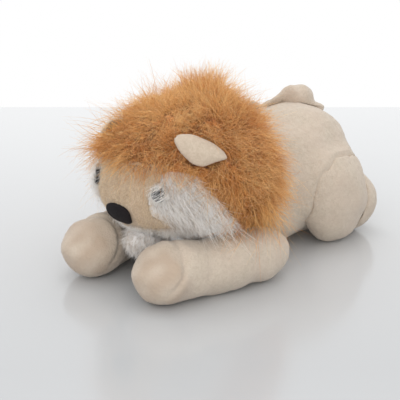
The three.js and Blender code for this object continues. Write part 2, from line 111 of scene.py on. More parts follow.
# Arithmetic on rows of points


def unit(rows: Array) -> Array:
    """Rows scaled to length 1."""
    return rows / np.maximum(np.linalg.norm(rows, axis=-1, keepdims=True), 1e-12)


def dots(a: Array, b: Array) -> Array:
    """The dot product of each row of a with the same row of b."""
    return (a * b).sum(-1)


def along_surface(ways: Array, normals: Array) -> Array:
    """What is left of each row of ways after its share along the normal is taken out."""
    return ways - dots(ways, normals)[:, None] * normals


def smooth(x: Array, low: float, high: float) -> Array:
    """A smooth step from 0 at low to 1 at high."""
    t = np.clip((x - low) / (high - low), 0.0, 1.0)
    return t * t * (3.0 - 2.0 * t)


@dataclass(frozen=True)
class Waves:
    """A smooth random field of about unit size: plane waves with a fixed seed."""

    seed: int
    pitch: float
    count: int = 16

    def at(self, points: Array) -> Array:
        """The field's value at each point.

        Args:
            points: the points.

        Returns:
            A number for each, about -1 to 1.
        """
        rng = np.random.default_rng(self.seed)
        ways = unit(rng.normal(size=(self.count, 3)))
        turns = 2.0 * math.pi / self.pitch * rng.uniform(0.6, 1.5, self.count)
        phases = rng.uniform(0.0, 2.0 * math.pi, self.count)
        total = np.sin(points @ (ways * turns[:, None]).T + phases).sum(1)
        return total / math.sqrt(self.count / 2.0)


# Meshes


def add_object(name: str, mesh: bpy.types.Mesh) -> bpy.types.Object:
    """A new object that stands in the scene with this mesh.

    Args:
        name: the object's name.
        mesh: its mesh.

    Returns:
        The object.
    """
    obj = bpy.data.objects.new(name, mesh)
    bpy.context.scene.collection.objects.link(obj)
    return obj


def shade_smooth(obj: bpy.types.Object) -> None:
    """Shades every face of a mesh smoothly."""
    obj.data.polygons.foreach_set("use_smooth", [True] * len(obj.data.polygons))


def mesh_object(name: str, points: Array, faces: Faces) -> bpy.types.Object:
    """An object made of points and faces, shaded smoothly, with its faces outwards.

    Args:
        name: the object's name.
        points: its corners.
        faces: the numbers of each face's corners.

    Returns:
        The object.
    """
    mesh = bpy.data.meshes.new(name)
    mesh.from_pydata([tuple(map(float, p)) for p in points], [], faces)
    work = bmesh.new()
    work.from_mesh(mesh)
    bmesh.ops.recalc_face_normals(work, faces=work.faces)
    work.to_mesh(mesh)
    work.free()
    obj = add_object(name, mesh)
    shade_smooth(obj)
    return obj


def node_copy(node: str, name: str) -> bpy.types.Object:
    """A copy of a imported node's mesh with its loose corners merged.

    Args:
        node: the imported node.
        name: the copy's name.

    Returns:
        The copy.
    """
    work = bmesh.new()
    work.from_mesh(NODES[node].data)
    bmesh.ops.remove_doubles(work, verts=work.verts, dist=WELD)
    mesh = bpy.data.meshes.new(name)
    work.to_mesh(mesh)
    work.free()
    return add_object(name, mesh)


def node_tree(node: str) -> BVHTree:
    """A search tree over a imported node's surface.

    Args:
        node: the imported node.

    Returns:
        The tree.
    """
    work = bmesh.new()
    work.from_mesh(NODES[node].data)
    bmesh.ops.remove_doubles(work, verts=work.verts, dist=WELD)
    tree = BVHTree.FromBMesh(work)
    work.free()
    return tree


def settle(obj: bpy.types.Object) -> None:
    """Turns an object's modifiers into its mesh.

    Args:
        obj: the object, changed in place.
    """
    shaped = obj.evaluated_get(bpy.context.evaluated_depsgraph_get())
    mesh = bpy.data.meshes.new_from_object(shaped)
    obj.modifiers.clear()
    old, obj.data = obj.data, mesh
    bpy.data.meshes.remove(old)
    shade_smooth(obj)


def remesh(obj: bpy.types.Object, voxel: float) -> None:
    """Gives a closed mesh an even net of faces.

    Args:
        obj: the object, changed in place.
        voxel: about how long the new faces' sides are.
    """
    modifier = obj.modifiers.new("net", "REMESH")
    modifier.mode = "VOXEL"
    modifier.voxel_size = voxel
    settle(obj)


def relax(obj: bpy.types.Object, times: int) -> None:
    """Evens out a mesh's surface.

    Args:
        obj: the object, changed in place.
        times: how often it is evened out.
    """
    modifier = obj.modifiers.new("relax", "SMOOTH")
    modifier.factor, modifier.iterations = 0.5, times
    settle(obj)


def subdivide(obj: bpy.types.Object, levels: int) -> None:
    """Rounds a mesh by subdivision.

    Args:
        obj: the object, changed in place.
        levels: how often each face is split.
    """
    modifier = obj.modifiers.new("rounding", "SUBSURF")
    modifier.levels = modifier.render_levels = levels
    settle(obj)


def places(obj: bpy.types.Object) -> Array:
    """The places of a mesh's corners.

    Args:
        obj: the object that has the mesh.

    Returns:
        A row for each corner.
    """
    flat = np.empty(3 * len(obj.data.vertices))
    obj.data.vertices.foreach_get("co", flat)
    return flat.reshape(-1, 3)


def move_to(obj: bpy.types.Object, points: Array) -> None:
    """Puts a mesh's corners at new places."""
    obj.data.vertices.foreach_set("co", np.ascontiguousarray(points, dtype=float).ravel())
    obj.data.update()


def facings(obj: bpy.types.Object) -> Array:
    """The way that each corner of a mesh faces.

    Args:
        obj: the object that has the mesh.

    Returns:
        A row of length 1 for each corner.
    """
    flat = np.empty(3 * len(obj.data.vertices))
    obj.data.vertex_normals.foreach_get("vector", flat)
    return flat.reshape(-1, 3)


def swell(obj: bpy.types.Object, heights: Array) -> None:
    """Moves each corner of a mesh along its own normal."""
    move_to(obj, places(obj) + facings(obj) * heights[:, None])


def crinkle(points: Array, pitch: float, squeeze: Point = (1.0, 1.0, 1.0)) -> Array:
    """Fine irregular noise at each point, about -1 to 1, finer along an axis that squeeze is over 1 on."""
    scaled = points * np.array(squeeze) / pitch
    return np.array([noise.noise(Vector(p)) for p in scaled])


def lathe(profile: list[tuple[float, float]], segments: int) -> tuple[Array, Faces]:
    """A closed body turned about Z.

    Args:
        profile: radius and height of each step, the first and last on the axis.
        segments: how many faces go round.

    Returns:
        The points and the faces.
    """
    rings = profile[1:-1]
    turns = np.arange(segments) * 2.0 * math.pi / segments
    points = [(0.0, 0.0, profile[0][1])]
    for radius, height in rings:
        points += [(radius * math.cos(a), radius * math.sin(a), height) for a in turns]
    points.append((0.0, 0.0, profile[-1][1]))
    last = len(points) - 1
    faces: Faces = []
    for step in range(segments):
        after = (step + 1) % segments
        faces.append((0, 1 + after, 1 + step))
        for ring in range(len(rings) - 1):
            a, b = 1 + ring * segments + step, 1 + ring * segments + after
            faces.append((a, b, b + segments, a + segments))
        top = 1 + (len(rings) - 1) * segments
        faces.append((top + step, top + after, last))
    return np.array(points), faces


# Node trees


class Wiring:
    """Adds nodes to a node tree and joins them."""

    def __init__(self, tree: bpy.types.NodeTree) -> None:
        """Starts on an empty tree."""
        self.tree = tree

    def add(self, kind: str, inputs: Optional[dict] = None, **settings: object) -> bpy.types.Node:
        """A new node.

        Args:
            kind: the node's type name.
            inputs: a value or another node's output for each named or numbered input.
            settings: the node's own properties.

        Returns:
            The node.
        """
        node = self.tree.nodes.new(kind)
        for name, value in settings.items():
            setattr(node, name, value)
        for key, value in (inputs or {}).items():
            socket = node.inputs[key]
            if isinstance(value, Socket):
                self.tree.links.new(value, socket)
            else:
                socket.default_value = value
        return node

    def math(self, operation: str, *values: object) -> Socket:
        """The result of a sum on plain numbers."""
        return self.add("ShaderNodeMath", dict(enumerate(values)), operation=operation).outputs[0]

    def blend(self, share: Socket, a: object, b: object) -> Socket:
        """One colour mixed into another.

        Args:
            share: how much of the second shows.
            a: the first, as a colour or another node's output.
            b: the second.

        Returns:
            The mixed colour.
        """
        given = {0: share}
        for key, value in ((6, a), (7, b)):
            given[key] = value if isinstance(value, Socket) else (*value, 1.0)
        return self.add("ShaderNodeMix", given, data_type="RGBA", blend_type="MIX").outputs[2]

    def ramp(self, value: Socket, span: Span, ends: Span = (0.0, 1.0), **settings: object) -> Socket:
        """A value taken from one range into another.

        Args:
            value: what varies.
            span: the values that become the two ends.
            ends: what they become.
            settings: the node's own properties.

        Returns:
            The new value.
        """
        given = {0: value, 1: span[0], 2: span[1], 3: ends[0], 4: ends[1]}
        return self.add("ShaderNodeMapRange", given, **settings).outputs[0]

    def noise(self, place: Socket, scale: object, detail: float, **inputs: float) -> Socket:
        """Smooth noise over a surface.

        Args:
            place: where each spot lies.
            scale: how many waves go into a metre.
            detail: how many finer layers it has.
            inputs: the node's other inputs.

        Returns:
            The noise, about 0 to 1.
        """
        return self.add("ShaderNodeTexNoise", {"Vector": place, "Scale": scale, "Detail": detail, **inputs}).outputs[0]

    def attribute(self, name: str) -> Socket:
        """A value that the mesh carries."""
        return self.add("ShaderNodeAttribute", None, attribute_name=name).outputs["Fac"]

    def place(self) -> Socket:
        """Where each spot lies in the piece's own frame."""
        return self.add("ShaderNodeTexCoord").outputs["Object"]

    def bump(self, strength: float, height: Socket) -> Socket:
        """The facing of a surface with relief."""
        return self.add("ShaderNodeBump", {"Strength": strength, "Distance": BUMP_DEPTH, "Height": height}).outputs[0]


def new_group(name: str, kind: str, inputs: dict[str, tuple], outputs: dict[str, str]) -> bpy.types.NodeTree:
    """A node group with named sockets.

    Args:
        name: the group's name.
        kind: the tree's type.
        inputs: socket type and first value by name; a value of None is left as it is.
        outputs: socket type by name.

    Returns:
        The group's tree.
    """
    tree = bpy.data.node_groups.new(name, kind)
    for label, (socket_type, value) in inputs.items():
        socket = tree.interface.new_socket(label, in_out="INPUT", socket_type=socket_type)
        if value is not None:
            socket.default_value = value
    for label, socket_type in outputs.items():
        tree.interface.new_socket(label, in_out="OUTPUT", socket_type=socket_type)
    return tree


# The noise values between which pile goes from shaded to light, and between which a patch fades in
NAP_EDGES: Span = (0.36, 0.64)
PATCH_EDGES: Span = (0.35, 0.65)
# The coarser rows in the pile: their scale beside the fine tufts, and their share of the height
ROW_SCALE, ROW_SHARE = 0.4, 0.45


def nap_group() -> bpy.types.NodeTree:
    """Short cut pile: how light each spot is, painted lighter on its high tufts and darker in its dips as painted light
    and shade, how far into a warmer patch it lies, and how high it stands.

    Returns:
        The group, with an output for each of the three.
    """
    tree = new_group(
        "nap", "ShaderNodeTree",
        {"Pitch": ("NodeSocketFloat", 0.0012), "Patches": ("NodeSocketFloat", 0.018)},
        {"Shade": "NodeSocketFloat", "Patch": "NodeSocketFloat", "Height": "NodeSocketFloat"},
    )
    w = Wiring(tree)
    given, place = w.add("NodeGroupInput").outputs, w.place()
    fine = w.math("DIVIDE", 1.0, given["Pitch"])
    tufts = w.noise(place, fine, 3.0, Roughness=0.65)
    rows = w.noise(place, w.math("MULTIPLY", fine, ROW_SCALE), 2.0, Distortion=0.6)
    patch = w.noise(place, w.math("DIVIDE", 1.0, given["Patches"]), 2.0)
    both = w.math("ADD", w.math("MULTIPLY", tufts, 1.0 - ROW_SHARE), w.math("MULTIPLY", rows, ROW_SHARE))
    # The same height lights the tufts and darkens the dips: painted light and painted shade
    w.add("NodeGroupOutput", {"Shade": w.ramp(both, NAP_EDGES), "Patch": w.ramp(patch, PATCH_EDGES), "Height": both})
    return tree


@dataclass
class Workshop:
    """The node groups that several finishes share."""

    nap: bpy.types.NodeTree = field(default_factory=nap_group)


def new_material(name: str) -> tuple[bpy.types.Material, Wiring, bpy.types.Node]:
    """A material with its wiring and its surface shader.

    Args:
        name: the material's name.

    Returns:
        The material, its wiring and the shader.
    """
    material = bpy.data.materials.new(name)
    material.use_nodes = True
    material.node_tree.nodes.clear()
    w = Wiring(material.node_tree)
    surface = w.add("ShaderNodeBsdfPrincipled")
    w.add("ShaderNodeOutputMaterial", {"Surface": surface.outputs[0]})
    return material, w, surface


def wire(w: Wiring, surface: bpy.types.Node, **values: object) -> None:
    """Sets or joins inputs of a surface shader, named with _ for a space.

    Args:
        w: the material's wiring.
        surface: the shader.
        values: a value or another node's output by input name.
    """
    for name, value in values.items():
        socket = surface.inputs[name.replace("_", " ")]
        if isinstance(value, Socket):
            w.tree.links.new(value, socket)
        else:
            socket.default_value = value


@dataclass(frozen=True)
class PlushFinish:
    """Short cut pile: a lit and a shaded tone, painted on its high and low spots as painted light and shade, and warmer
    patches.
    """

    name: str
    light: Color
    shade: Color
    patch: Color
    pitch: float = 0.0011
    patches: float = 0.016
    bump: float = 0.85
    sheen: float = 0.25
    patch_share: float = 0.45
    darker_tone: Optional[Color] = None

    def make(self, shop: Workshop) -> bpy.types.Material:
        """The material of this finish, with a darker tone where the mesh asks for it: painted shade under the mane on a
        cheek, a darker front on a forepaw.

        Args:
            shop: makes the groups that finishes share.

        Returns:
            The material.
        """
        material, w, surface = new_material(self.name)
        nap = w.add("ShaderNodeGroup", None, node_tree=shop.nap)
        nap.inputs["Pitch"].default_value = self.pitch
        nap.inputs["Patches"].default_value = self.patches
        # Painted light and shade: the nap's high spots take the light tone and its dips the shaded one
        tone = w.blend(nap.outputs["Shade"], self.shade, self.light)
        tone = w.blend(w.math("MULTIPLY", nap.outputs["Patch"], self.patch_share), tone, self.patch)
        if self.darker_tone:
            tone = w.blend(w.attribute("darker_tone"), tone, self.darker_tone)
        wire(w, surface, Base_Color=tone, Roughness=0.95, Normal=w.bump(self.bump, nap.outputs["Height"]),
             Sheen_Weight=self.sheen, Sheen_Roughness=0.5, Specular_IOR_Level=0.2)
        return material


@dataclass(frozen=True)
class FurFinish:
    """Long pile: its colour from root to tip, in a dull and in a bright strand; the darker root is painted shade deep
    in the pile.
    """

    name: str
    root: Color
    dull: Color
    bright: Color
    tip: Color
    tip_share: float = 0.6
    root_end: Span = (0.05, 0.55)
    tip_start: Span = (0.55, 1.0)

    def make(self) -> bpy.types.Material:
        """The material of this finish.

        Returns:
            The material.
        """
        material, w, surface = new_material(self.name)
        along, tone = w.attribute("along"), w.attribute("tone")
        # The darker root colour is painted shade deep in the pile
        rise = w.ramp(along, self.root_end, interpolation_type="SMOOTHSTEP")
        shaft = w.blend(rise, self.root, w.blend(tone, self.dull, self.bright))
        end = w.ramp(along, self.tip_start, (0.0, self.tip_share))
        hair = w.blend(w.math("MULTIPLY", end, tone), shaft, self.tip)
        wire(w, surface, Base_Color=hair, Roughness=0.62, Specular_IOR_Level=0.3,
             Sheen_Weight=0.15, Sheen_Roughness=0.4)
        return material


@dataclass(frozen=True)
class UnderPileFinish:
    """Painted shade of the depth of long pile, streaked between two tones."""

    name: str
    dark: Color
    light: Color
    pitch: float = 0.0016
    stretch: Point = (1.0, 1.0, 0.35)
    relief: float = 0.8

    def make(self) -> bpy.types.Material:
        """The material of this finish.

        Returns:
            The material.
        """
        material, w, surface = new_material(self.name)
        drawn = w.add("ShaderNodeMapping", {"Vector": w.place(), "Scale": self.stretch})
        streaks = w.noise(drawn.outputs[0], 1.0 / self.pitch, 4.0)
        tone = w.blend(w.ramp(streaks, PATCH_EDGES), self.dark, self.light)
        wire(w, surface, Base_Color=tone, Roughness=0.9, Normal=w.bump(self.relief, streaks), Sheen_Weight=0.2)
        return material


@dataclass(frozen=True)
class GlossFinish:
    """Moulded plastic, faintly uneven in its gloss."""

    name: str
    color: Color
    roughness: float = 0.09
    specular: float = 0.4
    haze_scale: float = 600.0
    haze_gain: float = 1.8

    def make(self) -> bpy.types.Material:
        """The material of this finish.

        Returns:
            The material.
        """
        material, w, surface = new_material(self.name)
        haze = w.noise(w.place(), self.haze_scale, 2.0)
        rough = w.ramp(haze, (0.3, 0.7), (self.roughness, self.roughness * self.haze_gain))
        paler = tuple(min(1.0, c * 1.25 + 0.002) for c in self.color)
        wire(w, surface, Base_Color=w.blend(haze, self.color, paler), Roughness=rough,
             Specular_IOR_Level=self.specular)
        return material


@dataclass
class Finishes:
    """Every material of the toy."""

    shop: Workshop

    def __post_init__(self) -> None:
        """Makes the materials."""
        beige = ((0.610, 0.525, 0.430), (0.51, 0.43, 0.340), (0.570, 0.460, 0.375))
        white = ((0.80, 0.775, 0.765), (0.66, 0.63, 0.61), (0.74, 0.70, 0.67))
        self.body = PlushFinish("beige_plush", *beige).make(self.shop)
        # The forepaws' pile turns darker and warmer towards the front, in patches
        self.paw = PlushFinish("paw_plush", *beige, darker_tone=(0.475, 0.372, 0.285)).make(self.shop)
        self.face = PlushFinish("face_plush", (0.60, 0.47, 0.33), (0.46, 0.34, 0.23), (0.55, 0.40, 0.29),
                                pitch=0.0013).make(self.shop)
        self.ear = PlushFinish("ear_plush", (0.57, 0.475, 0.375), (0.46, 0.375, 0.285), (0.52, 0.41, 0.32),
                               pitch=0.0009, bump=0.3).make(self.shop)
        self.white = PlushFinish("white_plush", *white, pitch=0.0012).make(self.shop)
        # Under the mane's edge the cheek cloth takes the mane's orange, darkened as painted shade of the pile's depth
        self.cheek = PlushFinish("cheek_plush", *white, pitch=0.0012, darker_tone=(0.48, 0.185, 0.05)).make(self.shop)
        self.nose = PlushFinish("nose_cloth", (0.016, 0.013, 0.014), (0.008, 0.006, 0.007), (0.013, 0.010, 0.011),
                                pitch=0.0005, bump=0.4, sheen=0.02).make(self.shop)
        self.filling = PlushFinish("fibre_filling", (0.86, 0.85, 0.82), (0.70, 0.69, 0.66), (0.80, 0.79, 0.76),
                                   pitch=0.002, bump=0.8).make(self.shop)
        self.pellets = PlushFinish("pouch_cloth", (0.80, 0.79, 0.74), (0.66, 0.65, 0.60), (0.72, 0.70, 0.66),
                                   pitch=0.0006).make(self.shop)
        # Each long pile's darker root colour is painted shade deep in the pile
        self.mane = FurFinish("mane_pile", (0.34, 0.105, 0.022), (0.68, 0.27, 0.065), (0.97, 0.58, 0.21),
                              (0.99, 0.80, 0.47)).make()
        # The depth of the mane's pile under its strands: painted shade
        self.under_mane = UnderPileFinish("mane_painted_shade", (0.30, 0.095, 0.022), (0.70, 0.29, 0.08)).make()
        self.fluff = FurFinish("white_pile", (0.66, 0.56, 0.47), (0.86, 0.79, 0.72), (0.99, 0.965, 0.93),
                               (0.99, 0.98, 0.97)).make()
        self.face_pile = FurFinish("face_pile", (0.62, 0.47, 0.32), (0.76, 0.60, 0.42), (0.88, 0.73, 0.54),
                                   (0.93, 0.82, 0.67)).make()
        self.eye = GlossFinish("eye_gloss", (0.006, 0.006, 0.007)).make()
        self.washer = GlossFinish("washer_plastic", (0.80, 0.80, 0.77), roughness=0.35).make()


def dress(obj: bpy.types.Object, material: bpy.types.Material, slot: Slot, body: str, *nodes: str) -> None:
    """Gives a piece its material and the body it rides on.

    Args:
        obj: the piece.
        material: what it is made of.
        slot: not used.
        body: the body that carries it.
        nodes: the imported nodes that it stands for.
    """
    obj.data.materials.clear()
    obj.data.materials.append(material)
    if nodes:
        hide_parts(*nodes)
    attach(obj, body)
    log.info("%s: %d corners, %d faces, on %s", obj.name, len(obj.data.vertices), len(obj.data.polygons), body)


# The head's shape


@dataclass(frozen=True)
class HeadForm:
    """The stuffed head as a distance from its middle in each direction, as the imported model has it."""

    centre: Point = (0.0, -0.050, 0.060)
    half_width: float = 0.047
    front: float = 0.053
    back: float = 0.046
    up: float = 0.0425
    down: float = 0.032
    snout_bump: float = 0.003
    snout_aim: Point = (0.0, -1.0, -0.3)
    snout_spread: float = 0.42
    cover: float = 0.0025
    pile: float = 0.016
    thin: float = 0.22
    swell_from: float = -0.4
    swell_to: float = 0.5
    net: tuple[int, int] = (18, 28)

    def reach(self, ways: Array) -> Array:
        """The distance from the middle to the stuffing's surface in each direction.

        Args:
            ways: the directions from the head's middle.

        Returns:
            A distance for each.
        """
        length = np.where(ways[:, 1] < 0, self.front, self.back)
        height = np.where(ways[:, 2] > 0, self.up, self.down)
        sizes = np.stack([ways[:, 0] / self.half_width, ways[:, 1] / length, ways[:, 2] / height], 1)
        aim = unit(np.array(self.snout_aim))
        turn = np.arccos(np.clip(ways @ aim, -1.0, 1.0))
        return 1.0 / np.linalg.norm(sizes, axis=1) + self.snout_bump * np.exp(-((turn / self.snout_spread) ** 2))

    def pile_depth(self, ways: Array) -> Array:
        """How deep the mane's dense pile is in each direction."""
        full = smooth(ways[:, 1], self.swell_from, self.swell_to)
        return self.pile * (self.thin + (1.0 - self.thin) * full)

    def points(self, ways: Array, depth: Array) -> Array:
        """Points at a depth of cover over the stuffing."""
        return np.array(self.centre) + ways * (self.reach(ways) + depth)[:, None]

    def ways_to(self, points: Array) -> Array:
        """The direction from the middle to each point."""
        return unit(points - np.array(self.centre))

    def depth_of(self, points: Array) -> Array:
        """How far each point stands over the stuffing."""
        offset = points - np.array(self.centre)
        return np.linalg.norm(offset, axis=1) - self.reach(unit(offset))

    def normals(self, ways: Array) -> Array:
        """The way that the head's surface faces in each direction.

        Args:
            ways: the directions from the head's middle.

        Returns:
            A row of length 1 for each.
        """
        step = 0.01
        side = unit(np.cross(ways, [0.0, 0.0, 1.0]) + 1e-9)
        rise = np.cross(side, ways)
        here = self.points(ways, 0.0)
        a = self.points(unit(ways + step * side), 0.0) - here
        b = self.points(unit(ways + step * rise), 0.0) - here
        normals = unit(np.cross(a, b))
        return np.where(dots(normals, ways)[:, None] > 0, normals, -normals)

    def flat_faces(self) -> tuple[BVHTree, float]:
        """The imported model's faceted head at the cover's depth, to measure its flats against.

        Returns:
            A search tree over its surface, and that depth.
        """
        rings, sides = self.net
        tilt = np.pi * np.repeat(np.arange(rings + 1), sides) / rings
        turn = 2.0 * np.pi * np.tile(np.arange(sides), rings + 1) / sides
        ways = np.stack([-np.cos(turn) * np.sin(tilt), -np.sin(turn) * np.sin(tilt), np.cos(tilt)], 1)
        points = self.points(ways, self.cover)
        faces = []
        for ring in range(rings):
            for step in range(sides):
                after = (step + 1) % sides
                a, b = ring * sides + after, ring * sides + step
                faces += [(a, b, a + sides), (b, b + sides, a + sides)]
        return BVHTree.FromPolygons([tuple(p) for p in points], faces), self.cover

    def rounded(self, points: Array) -> Array:
        """Points of the faceted model moved out to the true round surface.

        Args:
            points: the points.

        Returns:
            Their new places.
        """
        tree, cover = self.flat_faces()
        ways = self.ways_to(points)
        full = self.reach(ways) + cover
        centre = Vector(self.centre)
        moved = np.empty(len(points))
        for i, way in enumerate(ways):
            hit = tree.ray_cast(centre, Vector(way))
            moved[i] = full[i] - hit[3] if hit[0] is not None else 0.0
        return points + ways * moved[:, None]


@dataclass(frozen=True)
class Hairline:
    """Where the mane starts over the face, and the white of the cheeks below it.

    The edge of the mane's hanging tips is a line in a side view: heights and how far forward it is at each.
    """

    under: float = 0.040
    neck: float = -0.014
    heights: tuple[float, ...] = (0.044, 0.048, 0.0606, 0.0663, 0.0734, 0.0757, 0.0763)
    fronts: tuple[float, ...] = (-0.059, -0.066, -0.0767, -0.0805, -0.0851, -0.0896, -0.0935)
    white_heights: tuple[float, ...] = (0.034, 0.044, 0.052, 0.0567, 0.065, 0.072)
    white_halves: tuple[float, ...] = (0.022, 0.0265, 0.0265, 0.0220, 0.0207, 0.0236)

    def drawn(self, points: Array) -> Array:
        """How far behind the edge of the mane's hanging tips each point lies."""
        return points[:, 1] - np.interp(points[:, 2], self.heights, self.fronts)

    def rooted(self, points: Array, hang: float = 0.0055, brow: float = 0.0770) -> Array:
        """How far behind the mane's foremost roots each point lies.

        Args:
            points: the points.
            hang: how far the tips hang in front of their roots.
            brow: the height over which the whole brow is mane.

        Returns:
            A distance for each point, less than 0 on the face.
        """
        over = np.maximum(points[:, 2] - brow, points[:, 1] - self.fronts[-1] - hang)
        return np.where(points[:, 2] > self.heights[-1], over, self.drawn(points) - hang)

    def white_half(self, heights: Array) -> Array:
        """How far from the middle the white of a cheek starts at each height."""
        return np.interp(heights, self.white_heights, self.white_halves)


HEAD = HeadForm()
HAIRLINE = Hairline()


# Long pile

# The shares of a strand's length at which it is tested against the box and against solids
MARKS = (0.5, 0.75, 1.0)
# How far off a solid a strand can be and still be looked at
NEARBY = 0.012


@dataclass
class Strands:
    """Strands of pile: each starts at a root, sets off along aim and bends by lean."""

    roots: Array
    aim: Array
    lean: Array
    curl: Array
    width: Array
    tone: Array

    def at(self, t: float) -> Array:
        """Where each strand is at a share of its length."""
        return self.roots + self.aim * t + self.lean * t * t + self.curl * t * (1.0 - t)

    def columns(self) -> tuple[Array, ...]:
        """The strands' values, in the order of the fields."""
        return self.roots, self.aim, self.lean, self.curl, self.width, self.tone

    def kept(self, keep: Array) -> "Strands":
        """Only the strands that a mask keeps."""
        return Strands(*(values[keep] for values in self.columns()))

    def joined(self, other: "Strands") -> "Strands":
        """These strands and others in one."""
        return Strands(*(np.concatenate(pair) for pair in zip(self.columns(), other.columns())))

    def flip(self, side: Side) -> None:
        """Moves strands made for the toy's left over to a side."""
        for values in (self.roots, self.aim, self.lean, self.curl):
            values[:, 0] *= side.value

    def held_in(self, low: Array, high: Array, tries: int = 12, shorter: float = 0.82) -> None:
        """Shortens every strand that would leave a box.

        Args:
            low: the box's lowest corner.
            high: its highest corner.
            tries: how often at most a strand is shortened.
            shorter: its new length as a share of the last.
        """
        for _ in range(tries):
            out = np.zeros(len(self.roots), bool)
            for t in MARKS:
                points = self.at(t)
                out |= ((points < low) | (points > high)).any(1)
            if not out.any():
                return
            for values in (self.aim, self.lean, self.curl):
                values[out] *= shorter

    def clear_of(self, tree: BVHTree, margin: float, zone: Optional[tuple[Point, Point]] = None) -> None:
        """Bends strands away from a solid that they would run into.

        Args:
            tree: the solid's surface.
            margin: the room to leave.
            zone: two corners of a box outside which nothing is tested.
        """
        for t in MARKS:
            points = self.at(t)
            near = np.ones(len(points), bool)
            if zone is not None:
                near = ((points > zone[0]) & (points < zone[1])).all(1)
            for i in np.nonzero(near)[0]:
                spot = Vector(points[i])
                where, normal, _, _ = tree.find_nearest(spot, NEARBY)
                if where is None:
                    continue
                out = (spot - where).dot(normal)
                if out < margin:
                    self.lean[i] += np.array(normal) * (margin - out) / (t * t)

    def inside(self, tree: BVHTree, margin: float, nearby: float = 0.008) -> Array:
        """Which strands touch a solid.

        Args:
            tree: the solid's surface.
            margin: a strand that comes nearer than this touches too.
            nearby: how far off the solid a strand is looked at.

        Returns:
            True for each strand that does.
        """
        found = np.zeros(len(self.roots), bool)
        for t in (0.0, 0.35, 0.6, 0.8, 1.0):
            for i, spot in enumerate(self.at(t)):
                if found[i]:
                    continue
                where, normal, _, distance = tree.find_nearest(Vector(spot), nearby)
                if where is not None and (distance < margin or (Vector(spot) - where).dot(normal) < 0.0):
                    found[i] = True
        return found


@dataclass(frozen=True)
class Pile:
    """How one kind of pile grows.

    Lengths, long_lengths, arch, uneven and widths are shares: of the usual length, of the gain of a long strand,
    of the lift that turns back at the tip, of the mess that bends the whole strand, and of the usual width.
    """

    seed: int
    per_clump: int = 14
    clump: float = 0.45
    mess: float = 0.22
    wisps: float = 0.06
    wisp_gain: float = 1.1
    width: float = 0.00013
    curl: float = 0.12
    lengths: Span = (0.75, 1.12)
    long_lengths: Span = (0.3, 1.0)
    arch: float = 0.15
    uneven: float = 0.5
    widths: Span = (0.8, 1.25)
    long_width: float = 0.75
    tone_spread: float = 0.3
    long_tone: float = 0.2

    def grow(self, roots: Array, normals: Array, flow: Array, lift: Array, lay: Array, tone: Array) -> Strands:
        """Strands from their roots.

        Args:
            roots: where they start.
            normals: the way the cloth faces there.
            flow: the way that the pile lies, along the cloth.
            lift: how far each strand stands off the cloth.
            lay: how far its tip lies along the flow.
            tone: 0 for a dull strand to 1 for a bright one.

        Returns:
            The strands.
        """
        rng = np.random.default_rng(self.seed)
        n = len(roots)
        messy = ((lift + lay) * self.mess)[:, None]
        long = rng.uniform(size=n) < self.wisps
        gain = rng.uniform(*self.lengths, n)
        gain += np.where(long, rng.uniform(*self.long_lengths, n) * self.wisp_gain, 0.0)
        rise = normals * (lift * gain)[:, None]
        aim = rise * (1.0 + self.arch) + rng.normal(size=(n, 3)) * messy * self.uneven
        lean = flow * (lay * gain)[:, None] - rise * self.arch + rng.normal(size=(n, 3)) * messy
        curl = rng.normal(size=(n, 3)) * ((lift + lay) * self.curl)[:, None]
        strands = Strands(roots, aim, lean, curl, np.full(n, self.width), tone)
        self._gather(strands, rng, long)
        strands.width = strands.width * np.where(long, self.long_width, 1.0) * rng.uniform(*self.widths, n)
        spread = rng.normal(size=n) * self.tone_spread + np.where(long, self.long_tone, 0.0)
        strands.tone = np.clip(tone + spread, 0.0, 1.0)
        return strands

    def _gather(self, strands: Strands, rng: np.random.Generator, free: Array) -> None:
        """Draws the tips of neighbouring strands together.

        Args:
            strands: the strands, bent in place.
            rng: the source of random draws.
            free: the long strands, which are drawn in only a little.
        """
        n = len(strands.roots)
        guides = rng.choice(n, max(1, n // self.per_clump), replace=False)
        tree = KDTree(len(guides))
        for k, g in enumerate(guides):
            tree.insert(Vector(strands.roots[g]), k)
        tree.balance()
        nearest = np.array([guides[tree.find(Vector(p))[1]] for p in strands.roots])
        tips = strands.at(1.0)
        pull = self.clump * rng.uniform(0.3, 1.0, n) * np.where(free, 0.2, 1.0)
        strands.lean += (tips[nearest] - tips) * pull[:, None]


# How many steps a strand has along its length, and how many sides round it
STRAND_STEPS, STRAND_SIDES = 4, 3
# The length of the straight line that every strand is bent from
BLANK = 0.001


